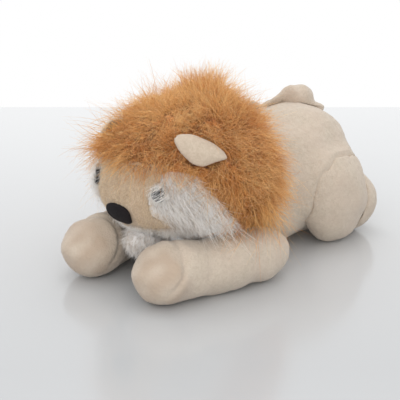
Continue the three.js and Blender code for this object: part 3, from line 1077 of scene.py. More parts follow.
def strand_tree() -> bpy.types.NodeTree:
    """Geometry nodes that turn points with an aim, a lean and a curl into tapered strands.

    Each strand gets a cell of its own on the map named OFBake, a square of as many columns as rows.

    Returns:
        The tree.
    """
    tree = new_group(
        "pile_strands", "GeometryNodeTree",
        {"Geometry": ("NodeSocketGeometry", None), "Steps": ("NodeSocketInt", STRAND_STEPS),
         "Taper": ("NodeSocketFloat", 0.85), "Columns": ("NodeSocketFloat", 90.0),
         "Finish": ("NodeSocketMaterial", None)},
        {"Geometry": "NodeSocketGeometry"},
    )
    w = Wiring(tree)
    given = w.add("NodeGroupInput").outputs

    def stored(name: str, kind: str = "FLOAT") -> Socket:
        """A named value of the strand."""
        return w.add("GeometryNodeInputNamedAttribute", {"Name": name}, data_type=kind).outputs["Attribute"]

    def store(on: Socket, name: str, value: Socket, kind: str = "FLOAT", domain: str = "POINT") -> Socket:
        """The same geometry with a named value on it."""
        given = {"Geometry": on, "Name": name, "Value": value}
        return w.add("GeometryNodeStoreNamedAttribute", given, data_type=kind, domain=domain).outputs[0]

    def scaled(vector: object, share: object) -> Socket:
        """A vector times a number."""
        return w.add("ShaderNodeVectorMath", {0: vector, "Scale": share}, operation="SCALE").outputs[0]

    def added(a: object, b: object) -> Socket:
        """The sum of two vectors."""
        return w.add("ShaderNodeVectorMath", {0: a, 1: b}, operation="ADD").outputs[0]

    def cell_place(index: Socket, margin: float, along: Socket, room: float) -> Socket:
        """A place on the map: a cell's number and a share of the cell, over the number of columns."""
        inner = w.math("MULTIPLY", along, room)
        return w.math("DIVIDE", w.math("ADD", w.math("ADD", index, margin), inner), columns)

    line = w.add("GeometryNodeCurvePrimitiveLine", {"End": (0.0, 0.0, BLANK)})
    count = w.math("ADD", given["Steps"], 1.0)
    fine = w.add("GeometryNodeResampleCurve", {"Curve": line.outputs[0], "Count": count}, mode="COUNT")
    spread = w.add("GeometryNodeInstanceOnPoints", {"Points": given["Geometry"], "Instance": fine.outputs[0]})
    real = w.add("GeometryNodeRealizeInstances", {"Geometry": spread.outputs[0]})
    t = w.add("GeometryNodeSplineParameter").outputs["Factor"]
    bow = w.math("MULTIPLY", t, w.math("SUBTRACT", 1.0, t))
    path = scaled(stored("aim", "FLOAT_VECTOR"), t)
    path = added(path, scaled(stored("lean", "FLOAT_VECTOR"), w.math("MULTIPLY", t, t)))
    path = added(path, scaled(stored("curl", "FLOAT_VECTOR"), bow))
    path = added(path, scaled((0.0, 0.0, -BLANK), t))
    bent = w.add("GeometryNodeSetPosition", {"Geometry": real.outputs[0], "Offset": path})
    left = w.math("SUBTRACT", 1.0, w.math("MULTIPLY", w.math("POWER", t, 1.5), given["Taper"]))
    marked = store(bent.outputs[0], "along", t)
    ring = w.add("GeometryNodeCurvePrimitiveCircle", {"Resolution": STRAND_SIDES, "Radius": 1.0}, mode="RADIUS")
    around = w.math("DIVIDE", w.add("GeometryNodeInputIndex").outputs[0], float(STRAND_SIDES))
    counted = store(ring.outputs[0], "around", around)
    tube = w.add("GeometryNodeCurveToMesh", {
        "Curve": marked, "Profile Curve": counted,
        "Scale": w.math("MULTIPLY", stored("wide"), left), "Fill Caps": True})
    cell, columns = stored("cell"), given["Columns"]
    row = w.math("FLOOR", w.math("DIVIDE", w.math("ADD", cell, 0.5), columns))
    column = w.math("SUBTRACT", cell, w.math("MULTIPLY", row, columns))
    u, v = cell_place(column, 0.2, stored("around"), 0.9), cell_place(row, 0.1, stored("along"), 0.8)
    uv = w.add("ShaderNodeCombineXYZ", {0: u, 1: v})
    mapped = store(tube.outputs[0], "OFBake", uv.outputs[0], "FLOAT2", "CORNER")
    round_ = w.add("GeometryNodeSetShadeSmooth", {0: mapped})
    done = w.add("GeometryNodeSetMaterial", {"Geometry": round_.outputs[0], "Material": given["Finish"]})
    w.add("NodeGroupOutput", {"Geometry": done.outputs[0]})
    return tree


def put_attribute(mesh: bpy.types.Mesh, name: str, kind: str, values: Array) -> None:
    """Stores a value for each corner of a mesh.

    Args:
        mesh: the mesh.
        name: the value's name.
        kind: FLOAT or FLOAT_VECTOR.
        values: one number or vector for each corner.
    """
    layer = mesh.attributes.new(name, kind, "POINT")
    key = "vector" if kind == "FLOAT_VECTOR" else "value"
    layer.data.foreach_set(key, np.ascontiguousarray(values, dtype=np.float32).ravel())


def pile_room(share: float = 0.03, spare: float = 0.0088, above: float = 0.0006) -> tuple[Array, Array]:
    """The box that the pile stays in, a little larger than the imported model's.

    Args:
        share: the part of the model's size that is added at each side.
        spare: the room added to that.
        above: how far over the table the pile stays.

    Returns:
        The lowest and the highest corner.
    """
    low, high = (np.array(corner) for corner in CAD_BOX)
    room = share * (high - low) + spare
    low, high = low - room, high + room
    low[2] = above
    return low, high


def pile_object(name: str, strands: Strands, material: bpy.types.Material,
                tree: bpy.types.NodeTree) -> bpy.types.Object:
    """One mesh of strands.

    Args:
        name: the piece's name.
        strands: where they grow and how they bend.
        material: their finish.
        tree: the geometry nodes that make them.

    Returns:
        The piece.
    """
    strands.held_in(*pile_room())
    mesh = bpy.data.meshes.new(name)
    mesh.from_pydata([tuple(p) for p in strands.roots], [], [])
    for label, values in (("aim", strands.aim), ("lean", strands.lean), ("curl", strands.curl)):
        put_attribute(mesh, label, "FLOAT_VECTOR", values)
    for label, values in (("wide", strands.width), ("tone", strands.tone), ("cell", np.arange(len(strands.roots)))):
        put_attribute(mesh, label, "FLOAT", values)
    obj = add_object(name, mesh)
    modifier = obj.modifiers.new("strands", "NODES")
    modifier.node_group = tree
    sockets = {s.name: s.identifier for s in tree.interface.items_tree if s.in_out == "INPUT"}
    modifier[sockets["Columns"]] = float(math.ceil(math.sqrt(len(strands.roots))))
    modifier[sockets["Finish"]] = material
    settle(obj)
    for spare in ("aim", "lean", "curl", "wide", "cell", "around"):
        if spare in obj.data.attributes:
            obj.data.attributes.remove(obj.data.attributes[spare])
    return obj


# Sub-assemblies


@dataclass(frozen=True)
class Crease:
    """A shallow fold round a limb, in a plane across it that sways a little with height."""

    spot: Point
    way: Point
    width: float = 0.0017
    depth: float = 0.0009
    sway: float = 0.0012
    sway_pitch: float = 0.006
    shown: Span = (0.008, 0.018)

    def heights(self, points: Array) -> Array:
        """How far the fold moves each point along its normal.

        Args:
            points: the points.

        Returns:
            A distance for each, less than 0 in the fold.
        """
        off = (points - np.array(self.spot)) @ unit(np.array(self.way))
        off = off + self.sway * np.sin(points[:, 2] / self.sway_pitch)
        return -self.depth * np.exp(-((off / self.width) ** 2)) * smooth(points[:, 2], *self.shown)


def torso_gap(points: Array) -> tuple[Array, Array]:
    """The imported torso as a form.

    Args:
        points: the points.

    Returns:
        How far each is off the torso, less than 0 inside, and the way that the torso faces there.
    """
    tree = node_tree("torso")
    gaps, ways = np.empty(len(points)), np.empty((len(points), 3))
    for i, p in enumerate(points):
        where, normal, _, _ = tree.find_nearest(Vector(p))
        gaps[i], ways[i] = (Vector(p) - where).dot(normal), normal
    return gaps, ways


@dataclass(frozen=True)
class Egg:
    """An egg-shaped form, as a distance and a facing."""

    centre: Point
    half: Point

    def gap(self, points: Array) -> tuple[Array, Array]:
        """The egg as a form.

        Args:
            points: the points.

        Returns:
            How far each is off the egg, less than 0 inside, and the way that the egg faces there.
        """
        scaled = (points - np.array(self.centre)) / np.array(self.half)
        slope = scaled / np.array(self.half)
        size = np.linalg.norm(scaled, axis=1)
        steep = np.maximum(np.linalg.norm(slope, axis=1), 1e-9)
        return size * (size - 1.0) / steep, slope / steep[:, None]


@dataclass(frozen=True)
class Fillet:
    """Fills the crease where two stuffed parts meet, as one cloth drawn over both would.

    A span along a height or a gap is where an effect goes from none to all of it.
    """

    near: Form
    own: Form
    reach: float = 0.018
    rim: float = 0.006
    shown: Span = (0.008, 0.030)
    worn: Span = (-0.0022, -0.0012)
    upper: Span = (0.036, 0.052)
    upper_gain: float = 0.1
    top: Span = (0.058, 0.070)
    top_loss: float = 0.55
    least_way: float = 0.62
    tuck: float = 0.0
    tucked: Span = (-0.0022, -0.0010)

    def moved(self, points: Array) -> Array:
        """A smooth union of the two parts.

        Args:
            points: the corners of the part that is moved.

        Returns:
            Their new places.
        """
        gap, across = self.near(points)
        depth, outward = self.own(points)
        worn = smooth(depth, *self.worn) * (depth < 0.0)
        points = points - outward * (depth * worn)[:, None]
        height = points[:, 2]
        reach = self.reach * (1.0 + self.upper_gain * smooth(height, *self.upper))
        share = np.clip(1.0 - np.maximum(gap, 0.0) / reach, 0.0, 1.0) * smooth(height, *self.shown)
        share *= smooth(depth, -self.rim, 0.0) * (1.0 - self.top_loss * smooth(height, *self.top))
        way = (1.0 - share / 2.0)[:, None] * outward + (share / 2.0)[:, None] * across
        size = np.maximum(np.linalg.norm(way, axis=1), self.least_way)
        moved = points + way * (reach / 4.0 * share * share / size ** 2)[:, None]
        return moved - across * (self.tuck * smooth(-gap, *self.tucked))[:, None]


def haunch_egg(side: Side) -> Egg:
    """The form of a haunch."""
    return Egg((0.036 * side.value, 0.053, 0.0285), (0.0185, 0.027, 0.029))


@dataclass
class StuffedPart:
    """A sewn cover with its filling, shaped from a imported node."""

    node: str
    name: str
    body: str
    voxel: float = 0.003
    levels: int = 1
    relaxing: int = 6
    cap: float = 0.0012
    shrink: float = 0.0006
    lumps: float = 0.0004
    lump_pitch: float = 0.022
    nap: float = 0.00022
    nap_pitch: float = 0.0022
    squeeze: Point = (1.0, 1.0, 1.6)
    fill: float = 0.85
    seed: int = 3
    pressure: float = 4.0
    frames: int = 20
    creases: tuple[Crease, ...] = ()
    fillets: tuple[Fillet, ...] = ()
    sculpt: Optional[Callable[[Array, Array], Array]] = None
    tint: Optional[Callable[[Array], Array]] = None

    def build(self, material: bpy.types.Material, slot: Slot) -> bpy.types.Object:
        """Makes the part and puts it on its body.

        Args:
            material: what its cover is made of.
            slot: the record's slot for it.

        Returns:
            The part.
        """
        obj = node_copy(self.node, self.name)
        remesh(obj, self.voxel)
        relax(obj, self.relaxing)
        self._plump(obj)
        subdivide(obj, self.levels)
        for fillet in self.fillets:
            move_to(obj, fillet.moved(places(obj)))
        points, normals = places(obj), facings(obj)
        heights = self.lumps * Waves(self.seed, self.lump_pitch).at(points)
        for crease in self.creases:
            heights += crease.heights(points)
        heights += self.nap * crinkle(points, self.nap_pitch, self.squeeze)
        points = points + normals * heights[:, None]
        if self.sculpt is not None:
            points = self.sculpt(points, normals)
        points[:, 2] = np.maximum(points[:, 2], 0.0)
        move_to(obj, points)
        if self.tint:
            put_attribute(obj.data, "darker_tone", "FLOAT", self.tint(places(obj)))
        dress(obj, material, slot, self.body, self.node)
        return obj

    def _plump(self, obj: bpy.types.Object) -> None:
        """Fills the cover by a short cloth simulation, with no corner moving past the cap.

        Args:
            obj: the cover, changed in place.
        """
        if self.cap <= 0.0:
            return
        swell(obj, np.full(len(obj.data.vertices), -self.shrink))
        before = places(obj)
        modifier = obj.modifiers.new("filling", "CLOTH")
        cloth = modifier.settings
        cloth.quality, cloth.use_pressure = 5, True
        cloth.uniform_pressure_force = self.pressure
        cloth.effector_weights.gravity = 0.0
        modifier.point_cache.frame_start, modifier.point_cache.frame_end = 1, self.frames
        for number in range(1, self.frames + 1):
            bpy.context.scene.frame_set(number)
        settle(obj)
        bpy.context.scene.frame_set(1)
        move = places(obj) - before
        size = np.linalg.norm(move, axis=1)
        share = np.minimum(1.0, (self.cap + self.shrink) / np.maximum(size, 1e-9))
        move_to(obj, before + move * share[:, None])


@dataclass(frozen=True)
class TailSettling:
    """How the tail's bow sinks towards the back while its sewn end stays where it is.

    A span along a height, a place or a facing is where an effect goes from none to all of it.
    """

    free_height: Span = (0.080, 0.088)
    end: Span = (0.024, 0.031)
    root: Span = (0.054, 0.068)
    under: Span = (-0.2, 0.7)
    fatter: float = 0.0024
    forward: float = 0.0065
    sink: float = 0.0030
    under_sink: float = 0.0024
    rear: Span = (0.062, 0.070)
    rear_height: Span = (0.084, 0.090)
    rear_lift: float = 0.0024
    side: Span = (0.043, 0.056)
    side_shift: float = 0.0032
    slimmer: float = 0.0011
    slimmed: Span = (0.020, 0.028)
    drawn_in: float = 0.5
    drawn: Span = (0.009, 0.020)
    off: float = 0.0002

    def moved(self, points: Array, normals: Array) -> Array:
        """The tail as it lies.

        Args:
            points: its corners.
            normals: the way it faces at each.

        Returns:
            Their new places.
        """
        free = smooth(points[:, 2], *self.free_height) * (1.0 - smooth(-points[:, 0], *self.end))
        root = smooth(points[:, 1], *self.root)
        under = smooth(-normals[:, 2], *self.under)
        out = points + normals * (self.fatter * free * root)[:, None]
        out[:, 1] -= self.forward * free * root
        out[:, 2] -= (self.under_sink * under * root + self.sink) * free
        out[:, 2] += self.rear_lift * smooth(out[:, 1], *self.rear) * smooth(out[:, 2], *self.rear_height)
        right = np.array([VIEW_COS, VIEW_SIN, 0.0])
        out -= np.outer(self.side_shift * smooth(out @ right, *self.side) * free, right)
        out -= normals * (self.slimmer * smooth(-points[:, 0], *self.slimmed))[:, None]
        gap, way = torso_gap(out)
        thin = self.drawn_in * smooth(-out[:, 0], *self.drawn)
        return out + way * ((np.maximum(self.off - gap, 0.0) - np.maximum(gap, 0.0) * thin) * free)[:, None]


@dataclass(frozen=True)
class PawDroop:
    """How a forepaw droops: fuller low down at its front, and flatter above.

    A span along a height or a place is where an effect goes from none to all of it.
    """

    front: Span = (0.100, 0.116)
    upper: Span = (0.016, 0.034)
    upper_back: float = 0.0028
    lower: Span = (-0.016, -0.004)
    lower_forth: float = 0.0010
    top: Span = (0.020, 0.036)
    top_sink: float = 0.0012
    wrist: Span = (0.090, 0.102)
    wrist_height: Span = (0.012, 0.036)
    wrist_sink: float = 0.0024
    inner: Span = (-0.028, -0.014)
    inner_shift: float = 0.0014
    outer: Span = (0.030, 0.046)
    outer_front: Span = (0.092, 0.106)
    outer_shift: float = 0.0026

    def moved(self, points: Array, _: Array) -> Array:
        """The foreleg with its paw drooped.

        Args:
            points: the foreleg's corners.
            _: the way it faces at each, which isn't needed.

        Returns:
            Their new places.
        """
        out = points.copy()
        front = smooth(-points[:, 1], *self.front)
        forth = self.lower_forth * smooth(-points[:, 2], *self.lower)
        out[:, 1] += front * (self.upper_back * smooth(points[:, 2], *self.upper) - forth)
        out[:, 2] -= self.top_sink * front * smooth(points[:, 2], *self.top)
        out[:, 2] -= self.wrist_sink * smooth(-points[:, 1], *self.wrist) * smooth(points[:, 2], *self.wrist_height)
        outward, across = np.sign(points[:, 0]), np.abs(points[:, 0])
        out[:, 0] += self.inner_shift * outward * front * smooth(-across, *self.inner)
        outer = smooth(across, *self.outer) * smooth(-points[:, 1], *self.outer_front)
        out[:, 0] += self.outer_shift * outward * outer
        return out


@dataclass
class Body:
    """The torso with its pouch, the legs and the tail."""

    finishes: Finishes
    droop: PawDroop = PawDroop()
    settling: TailSettling = TailSettling()
    warmth: float = 0.85
    warm: Span = (0.094, 0.107)
    patch_pitch: float = 0.015
    patch_share: float = 0.25

    def build(self) -> None:
        """Makes every piece of the body."""
        f = self.finishes
        haunches = tuple(Fillet(haunch_egg(side).gap, torso_gap) for side in Side)
        StuffedPart("torso", "torso_cover", "body", voxel=0.0024, lumps=0.0006, lump_pitch=0.03, seed=11,
                    fillets=haunches).build(f.body, Slot.BODY)
        StuffedPart("pellet_pouch", "pellet_bag", "body", voxel=0.002, cap=0.0, lumps=0.0009,
                    lump_pitch=0.005, seed=12).build(f.pellets, Slot.PELLETS)
        for side in Side:
            self._legs(side)
        StuffedPart("tail", "tail_cover", "tail_body", voxel=0.0012, cap=0.0, lumps=0.0003, lump_pitch=0.012,
                    seed=50, sculpt=self.settling.moved).build(f.body, Slot.BODY)

    def _legs(self, side: Side) -> None:
        """The foreleg, the haunch and the hind foot of one side.

        Args:
            side: the toy's left or right.
        """
        f, s = self.finishes, side.label
        StuffedPart(f"arm_{s}", f"foreleg_cover_{s}", f"foreleg_{s}", voxel=0.0019, seed=20 + side.value,
                    creases=self._creases(side), sculpt=self.droop.moved, tint=self._warmth).build(f.paw, Slot.BODY)
        hollow = Fillet(torso_gap, haunch_egg(side).gap, tuck=0.0010)
        StuffedPart(f"haunch_{s}", f"haunch_cover_{s}", f"hind_leg_{s}", voxel=0.002, seed=30 + side.value,
                    cap=0.0004, shrink=0.0002, fillets=(hollow,)).build(f.body, Slot.BODY)
        StuffedPart(f"hind_foot_{s}", f"hind_foot_cover_{s}", f"hind_leg_{s}", voxel=0.0022,
                    seed=40 + side.value, cap=0.0006).build(f.body, Slot.BODY)

    def _creases(self, side: Side) -> tuple[Crease, ...]:
        """The crease behind a forepaw and a slighter one at the elbow.

        Args:
            side: the toy's left or right.

        Returns:
            Both creases.
        """
        k = side.value
        return (Crease((0.030 * k, -0.1020, 0.016), (0.30 * k, 0.90, -0.45), width=0.0024, depth=0.0014),
                Crease((0.037 * k, -0.080, 0.016), (0.30 * k, 0.95, -0.25), width=0.003, depth=0.0004))

    def _warmth(self, points: Array) -> Array:
        """How far the pile of a forepaw takes its darker, warmer tone: more towards its front, in patches."""
        patches = 1.0 - self.patch_share + self.patch_share * Waves(24, self.patch_pitch).at(points)
        return self.warmth * smooth(-points[:, 1], *self.warm) * patches


@dataclass
class Face:
    """The short-pile covers of the head, with the nose and the eyes."""

    finishes: Finishes
    cloth_voxel: float = 0.0008
    cloth_nap: float = 0.00012
    nap_pitch: float = 0.0022
    under_mane: Span = (-0.0035, 0.0005)
    filling_gap: float = 0.0012
    eye_radius: float = 0.0045
    eye_height: float = 0.0036
    eye_rim: float = 0.0005
    eye_bevel: float = 0.96
    shank_radius: float = 0.0017
    shank_length: float = 0.0076
    seat: float = 0.0028
    nose_voxel: float = 0.0004
    nose_half: float = 0.0095
    nose_rise: float = 0.0009
    nose_droop: float = 0.0026
    nose_bulge: float = 0.0011
    nose_front: Span = (0.0032, 0.0044)

    def build(self) -> None:
        """Makes every piece of the face."""
        f = self.finishes
        self._cover("face_panel", "face_cover", f.face, Slot.FACE)
        self._cover("chin_panel", "chin_cover", f.white, Slot.WHITE)
        self._cover("throat_panel", "throat_cover", f.face, Slot.FACE)
        for side in Side:
            self._cover(f"cheek_{side.label}", f"cheek_backing_{side.label}", f.cheek, Slot.WHITE)
            self._eye(side)
            washer = NODES[f"eye_washer_{side.label}"]
            washer.data.materials.clear()
            washer.data.materials.append(f.washer)
        self._nose()
        StuffedPart("head_filling", "head_stuffing", "head", voxel=0.003, cap=0.0, nap=0.0, lumps=0.0,
                    sculpt=self._pressed).build(f.filling, Slot.FILLING)

    def _pressed(self, points: Array, normals: Array) -> Array:
        """The head's filling a little inside its packed form, so that it stays under the cloth."""
        return points - self.filling_gap * normals

    def _cover(self, node: str, name: str, material: bpy.types.Material, slot: Slot) -> None:
        """One panel of cloth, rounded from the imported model's flats.

        Args:
            node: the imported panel.
            name: the piece's name.
            material: what it is made of.
            slot: the record's slot for it.
        """
        obj = node_copy(node, name)
        remesh(obj, self.cloth_voxel)
        move_to(obj, HEAD.rounded(places(obj)))
        relax(obj, 3)
        swell(obj, self.cloth_nap * crinkle(places(obj), self.nap_pitch))
        # The share of the finish's darker tone behind the hairline: on a cheek, the mane's painted shade
        put_attribute(obj.data, "darker_tone", "FLOAT", smooth(HAIRLINE.rooted(places(obj)), *self.under_mane))
        dress(obj, material, slot, "head", node)

    def _nose(self) -> None:
        """The padded nose patch."""
        obj = node_copy("nose", "nose_patch")
        remesh(obj, self.nose_voxel)
        points = HEAD.rounded(places(obj))
        points[:, 2] += self.nose_rise - self.nose_droop * (points[:, 0] / self.nose_half) ** 2
        low, high = points.min(0), points.max(0)
        middle, half = (low + high) / 2.0, (high - low) / 2.0
        off = ((points[:, 0] - middle[0]) / half[0]) ** 2 + ((points[:, 2] - middle[2]) / half[2]) ** 2
        outer = smooth(HEAD.depth_of(points), *self.nose_front)
        bulge = self.nose_bulge * np.clip(1.0 - off, -0.6, 1.0) * outer
        move_to(obj, points + HEAD.ways_to(points) * bulge[:, None])
        relax(obj, 5)
        dress(obj, self.finishes.nose, Slot.NOSE, "head", "nose")

    def _eye(self, side: Side) -> None:
        """A domed eye on its shank.

        Args:
            side: the toy's left or right.
        """
        dome = [(self.eye_radius * math.cos(a), self.eye_rim + (self.eye_height - self.eye_rim) * math.sin(a))
                for a in np.linspace(0.0, math.pi / 2.0, 12)[:-1]]
        edge = self.eye_radius
        profile = [(0.0, -self.shank_length), (self.shank_radius, -self.shank_length), (self.shank_radius, 0.0),
                   (edge * self.eye_bevel, 0.0), (edge, self.eye_rim * 0.3), *dome, (0.0, self.eye_height)]
        points, faces = lathe(profile, 40)
        way = unit(np.array([EYE_AIM]))
        normal = HEAD.normals(way)[0]
        root = HEAD.points(way, 0.0)[0] + normal * self.seat
        turn = Vector((0.0, 0.0, 1.0)).rotation_difference(Vector(normal)).to_matrix()
        placed = points @ np.array(turn).T + root
        placed[:, 0] *= side.value
        obj = mesh_object(f"eye_dome_{side.label}", placed, faces)
        dress(obj, self.finishes.eye, Slot.EYE, "head", f"eye_{side.label}")


@dataclass
class Ears:
    """The two flopped ears."""

    finishes: Finishes
    front_tip: Point = (0.0277, -0.0885, 0.0938)
    back_tip: Point = (0.0491, -0.0663, 0.0835)
    rise: Point = (-0.319, 0.631, 0.706)
    front_drop: float = 0.22
    front_span: Span = (-0.4, 0.0)
    upper_taper: float = 0.2
    upper_span: Span = (0.7, 1.0)
    back_taper: float = 0.62
    back_span: Span = (0.55, 1.0)

    def build(self) -> None:
        """Makes both ears."""
        for side in Side:
            s = side.label
            StuffedPart(f"ear_{s}", f"ear_cover_{s}", f"ear_body_{s}", voxel=0.0008, levels=0, relaxing=5, cap=0.0,
                        lumps=0.00015, lump_pitch=0.01, nap=0.00006, nap_pitch=0.0016, fill=0.4,
                        seed=60 + side.value, sculpt=self._lens).build(self.finishes.ear, Slot.BODY)

    def _lens(self, points: Array, _: Array) -> Array:
        """An ear drawn to a lens with a rounded front end and a pointed back end.

        Args:
            points: the ear's corners.
            _: the way it faces at each, which isn't needed.

        Returns:
            Their new places.
        """
        mirror = np.array([math.copysign(1.0, points[:, 0].mean()), 1.0, 1.0])
        own = points * mirror
        start, end = np.array(self.front_tip), np.array(self.back_tip)
        length = np.linalg.norm(end - start)
        share = (own - start) @ (end - start) / length ** 2
        rise = unit(np.array(self.rise))
        width = (own - start) @ rise
        drop = self.front_drop * smooth(-share, *self.front_span) + self.upper_taper * smooth(share, *self.upper_span)
        upper = (width > 0.0) * drop
        lower = (width < 0.0) * self.back_taper * smooth(share, *self.back_span)
        return (own - np.outer(width * (upper + lower), rise)) * mirror


@dataclass(frozen=True)
class Hump:
    """A rounded rise, or a dip where its height is less than 0."""

    middle: float
    width: float
    height: float

    def at(self, across: Array) -> Array:
        """Its height at each place across it."""
        return self.height * np.exp(-(((across - self.middle) / self.width) ** 2))


@dataclass(frozen=True)
class ManeShape:
    """Which way the mane's strands go and how long they are, fitted to the photograph.

    A span is where an effect goes from none to all of it: along a direction's share to the left, the back or
    the top, or along a distance in metres.
    """

    pull: Point = (0.0, -0.25, -0.8)
    swirl: float = 0.7
    swirl_pitch: float = 0.016
    fringe: Span = (0.001, 0.010)
    fringe_side: Span = (0.4, 0.7)
    fringe_forward: float = 1.6
    neck: Span = (-0.034, -0.016)
    neck_backward: float = 1.4
    least_flow: float = 0.6
    near: Span = (0.0, 0.012)
    side: Span = (0.45, 0.8)
    front: Span = (0.1, 0.45)
    high: Span = (0.45, 0.75)
    side_puff: float = 0.003
    far_puff: float = 0.0062
    high_loss: float = 0.0037
    rear: Span = (0.0, 0.6)
    rear_height: Span = (-0.3, 0.25)
    rear_loss: float = 0.12
    rear_side_loss: float = 0.16
    far_rear: Span = (0.15, 0.5)
    far_gain: float = 0.26
    standing: float = 0.62
    extra: float = 0.0016
    least_lift: float = 0.0035
    lay: float = 0.005
    side_lay: float = 0.003
    low_lay: float = 0.007
    low: Span = (-0.058, -0.042)
    low_back: Span = (-0.064, -0.05)
    edge_share: float = 0.7
    fringe_lay: float = 0.0045
    brow_lay: float = 0.0050
    top: Span = (0.62, 0.82)
    top_back: Span = (-0.10, 0.16)
    tuft: Hump = Hump(0.25, 0.19, 0.0046)
    tuft_back: Span = (0.05, 0.25)
    dips: tuple[Hump, ...] = (Hump(-0.17, 0.19, 0.0072), Hump(0.60, 0.15, 0.0056))

    def flow(self, ways: Array, normals: Array, edge: Array) -> Array:
        """The way that the mane lies: mostly down, and forwards over the cheek at its edge.

        Args:
            ways: the directions of the roots from the head's middle.
            normals: the way the head faces there.
            edge: how far each root is behind the foremost ones.

        Returns:
            A way along the cloth for each.
        """
        pull = np.tile(self.pull, (len(ways), 1))
        spots = HEAD.points(ways, 0.0)
        pull += self.swirl * np.stack([Waves(71 + k, self.swirl_pitch).at(spots) for k in range(3)], 1)
        fringe = (1.0 - smooth(edge, *self.fringe)) * smooth(np.abs(ways[:, 0]), *self.fringe_side)
        pull[:, 1] -= self.fringe_forward * fringe
        pull[:, 1] += self.neck_backward * smooth(spots[:, 1], *self.neck)
        flow = along_surface(pull, normals)
        return flow / np.maximum(np.linalg.norm(flow, axis=1, keepdims=True), self.least_flow)

    def sizes(self, ways: Array, spots: Array, edge: Array) -> tuple[Array, Array]:
        """How long the strands are.

        Args:
            ways: the directions of the roots from the head's middle.
            spots: the roots.
            edge: how far each is behind the foremost ones.

        Returns:
            How far each strand stands up, and how far it lies along the cloth.
        """
        left, back, up = ways.T
        near, side = smooth(edge, *self.near), smooth(np.abs(left), *self.side)
        front = smooth(-back, *self.front)
        far = smooth(-left, *self.front) * (self.far_puff - self.high_loss * smooth(up, *self.high))
        puff = (self.side_puff * side + far) * front * near + self.crown(ways)
        rear = smooth(back, *self.rear) * smooth(up, *self.rear_height)
        share = self.standing - self.rear_side_loss * side * rear * (left > 0.0) - self.rear_loss * rear
        share += self.far_gain * smooth(-left, *self.far_rear) * rear
        lift = HEAD.pile_depth(ways) * share + puff + self.extra
        low = smooth(-spots[:, 2], *self.low) * smooth(spots[:, 1], *self.low_back)
        lay = self.lay + self.side_lay * side + self.low_lay * low
        lay *= self.edge_share + (1.0 - self.edge_share) * near
        lay += (1.0 - near) * (self.fringe_lay * side + self.brow_lay * (1.0 - side))
        return np.maximum(lift, self.least_lift), lay

    def crown(self, ways: Array) -> Array:
        """The crown's tuft at the back of its top and the flatter pile beside it, as added lift.

        Args:
            ways: the directions of the roots from the head's middle.

        Returns:
            A distance for each, less than 0 beside the tuft.
        """
        across = ways[:, 0] * VIEW_COS + ways[:, 1] * VIEW_SIN
        behind = ways[:, 1] * VIEW_COS - ways[:, 0] * VIEW_SIN
        top = smooth(ways[:, 2], *self.top) * smooth(behind, *self.top_back)
        tuft = self.tuft.at(across) * smooth(behind, *self.tuft_back)
        return (tuft - sum(dip.at(across) for dip in self.dips)) * top

    def tone(self, ways: Array, spots: Array) -> Array:
        """How bright each strand is, from its direction and its root: lighter on top of the head as painted light from
        above.
        """
        tone = 0.45 + 0.16 * Waves(72, 0.02).at(spots) + 0.1 * Waves(73, 0.007).at(spots)
        # Strands on top of the head are painted lighter: painted light
        return tone + 0.25 * smooth(ways[:, 2], 0.45, 0.95)


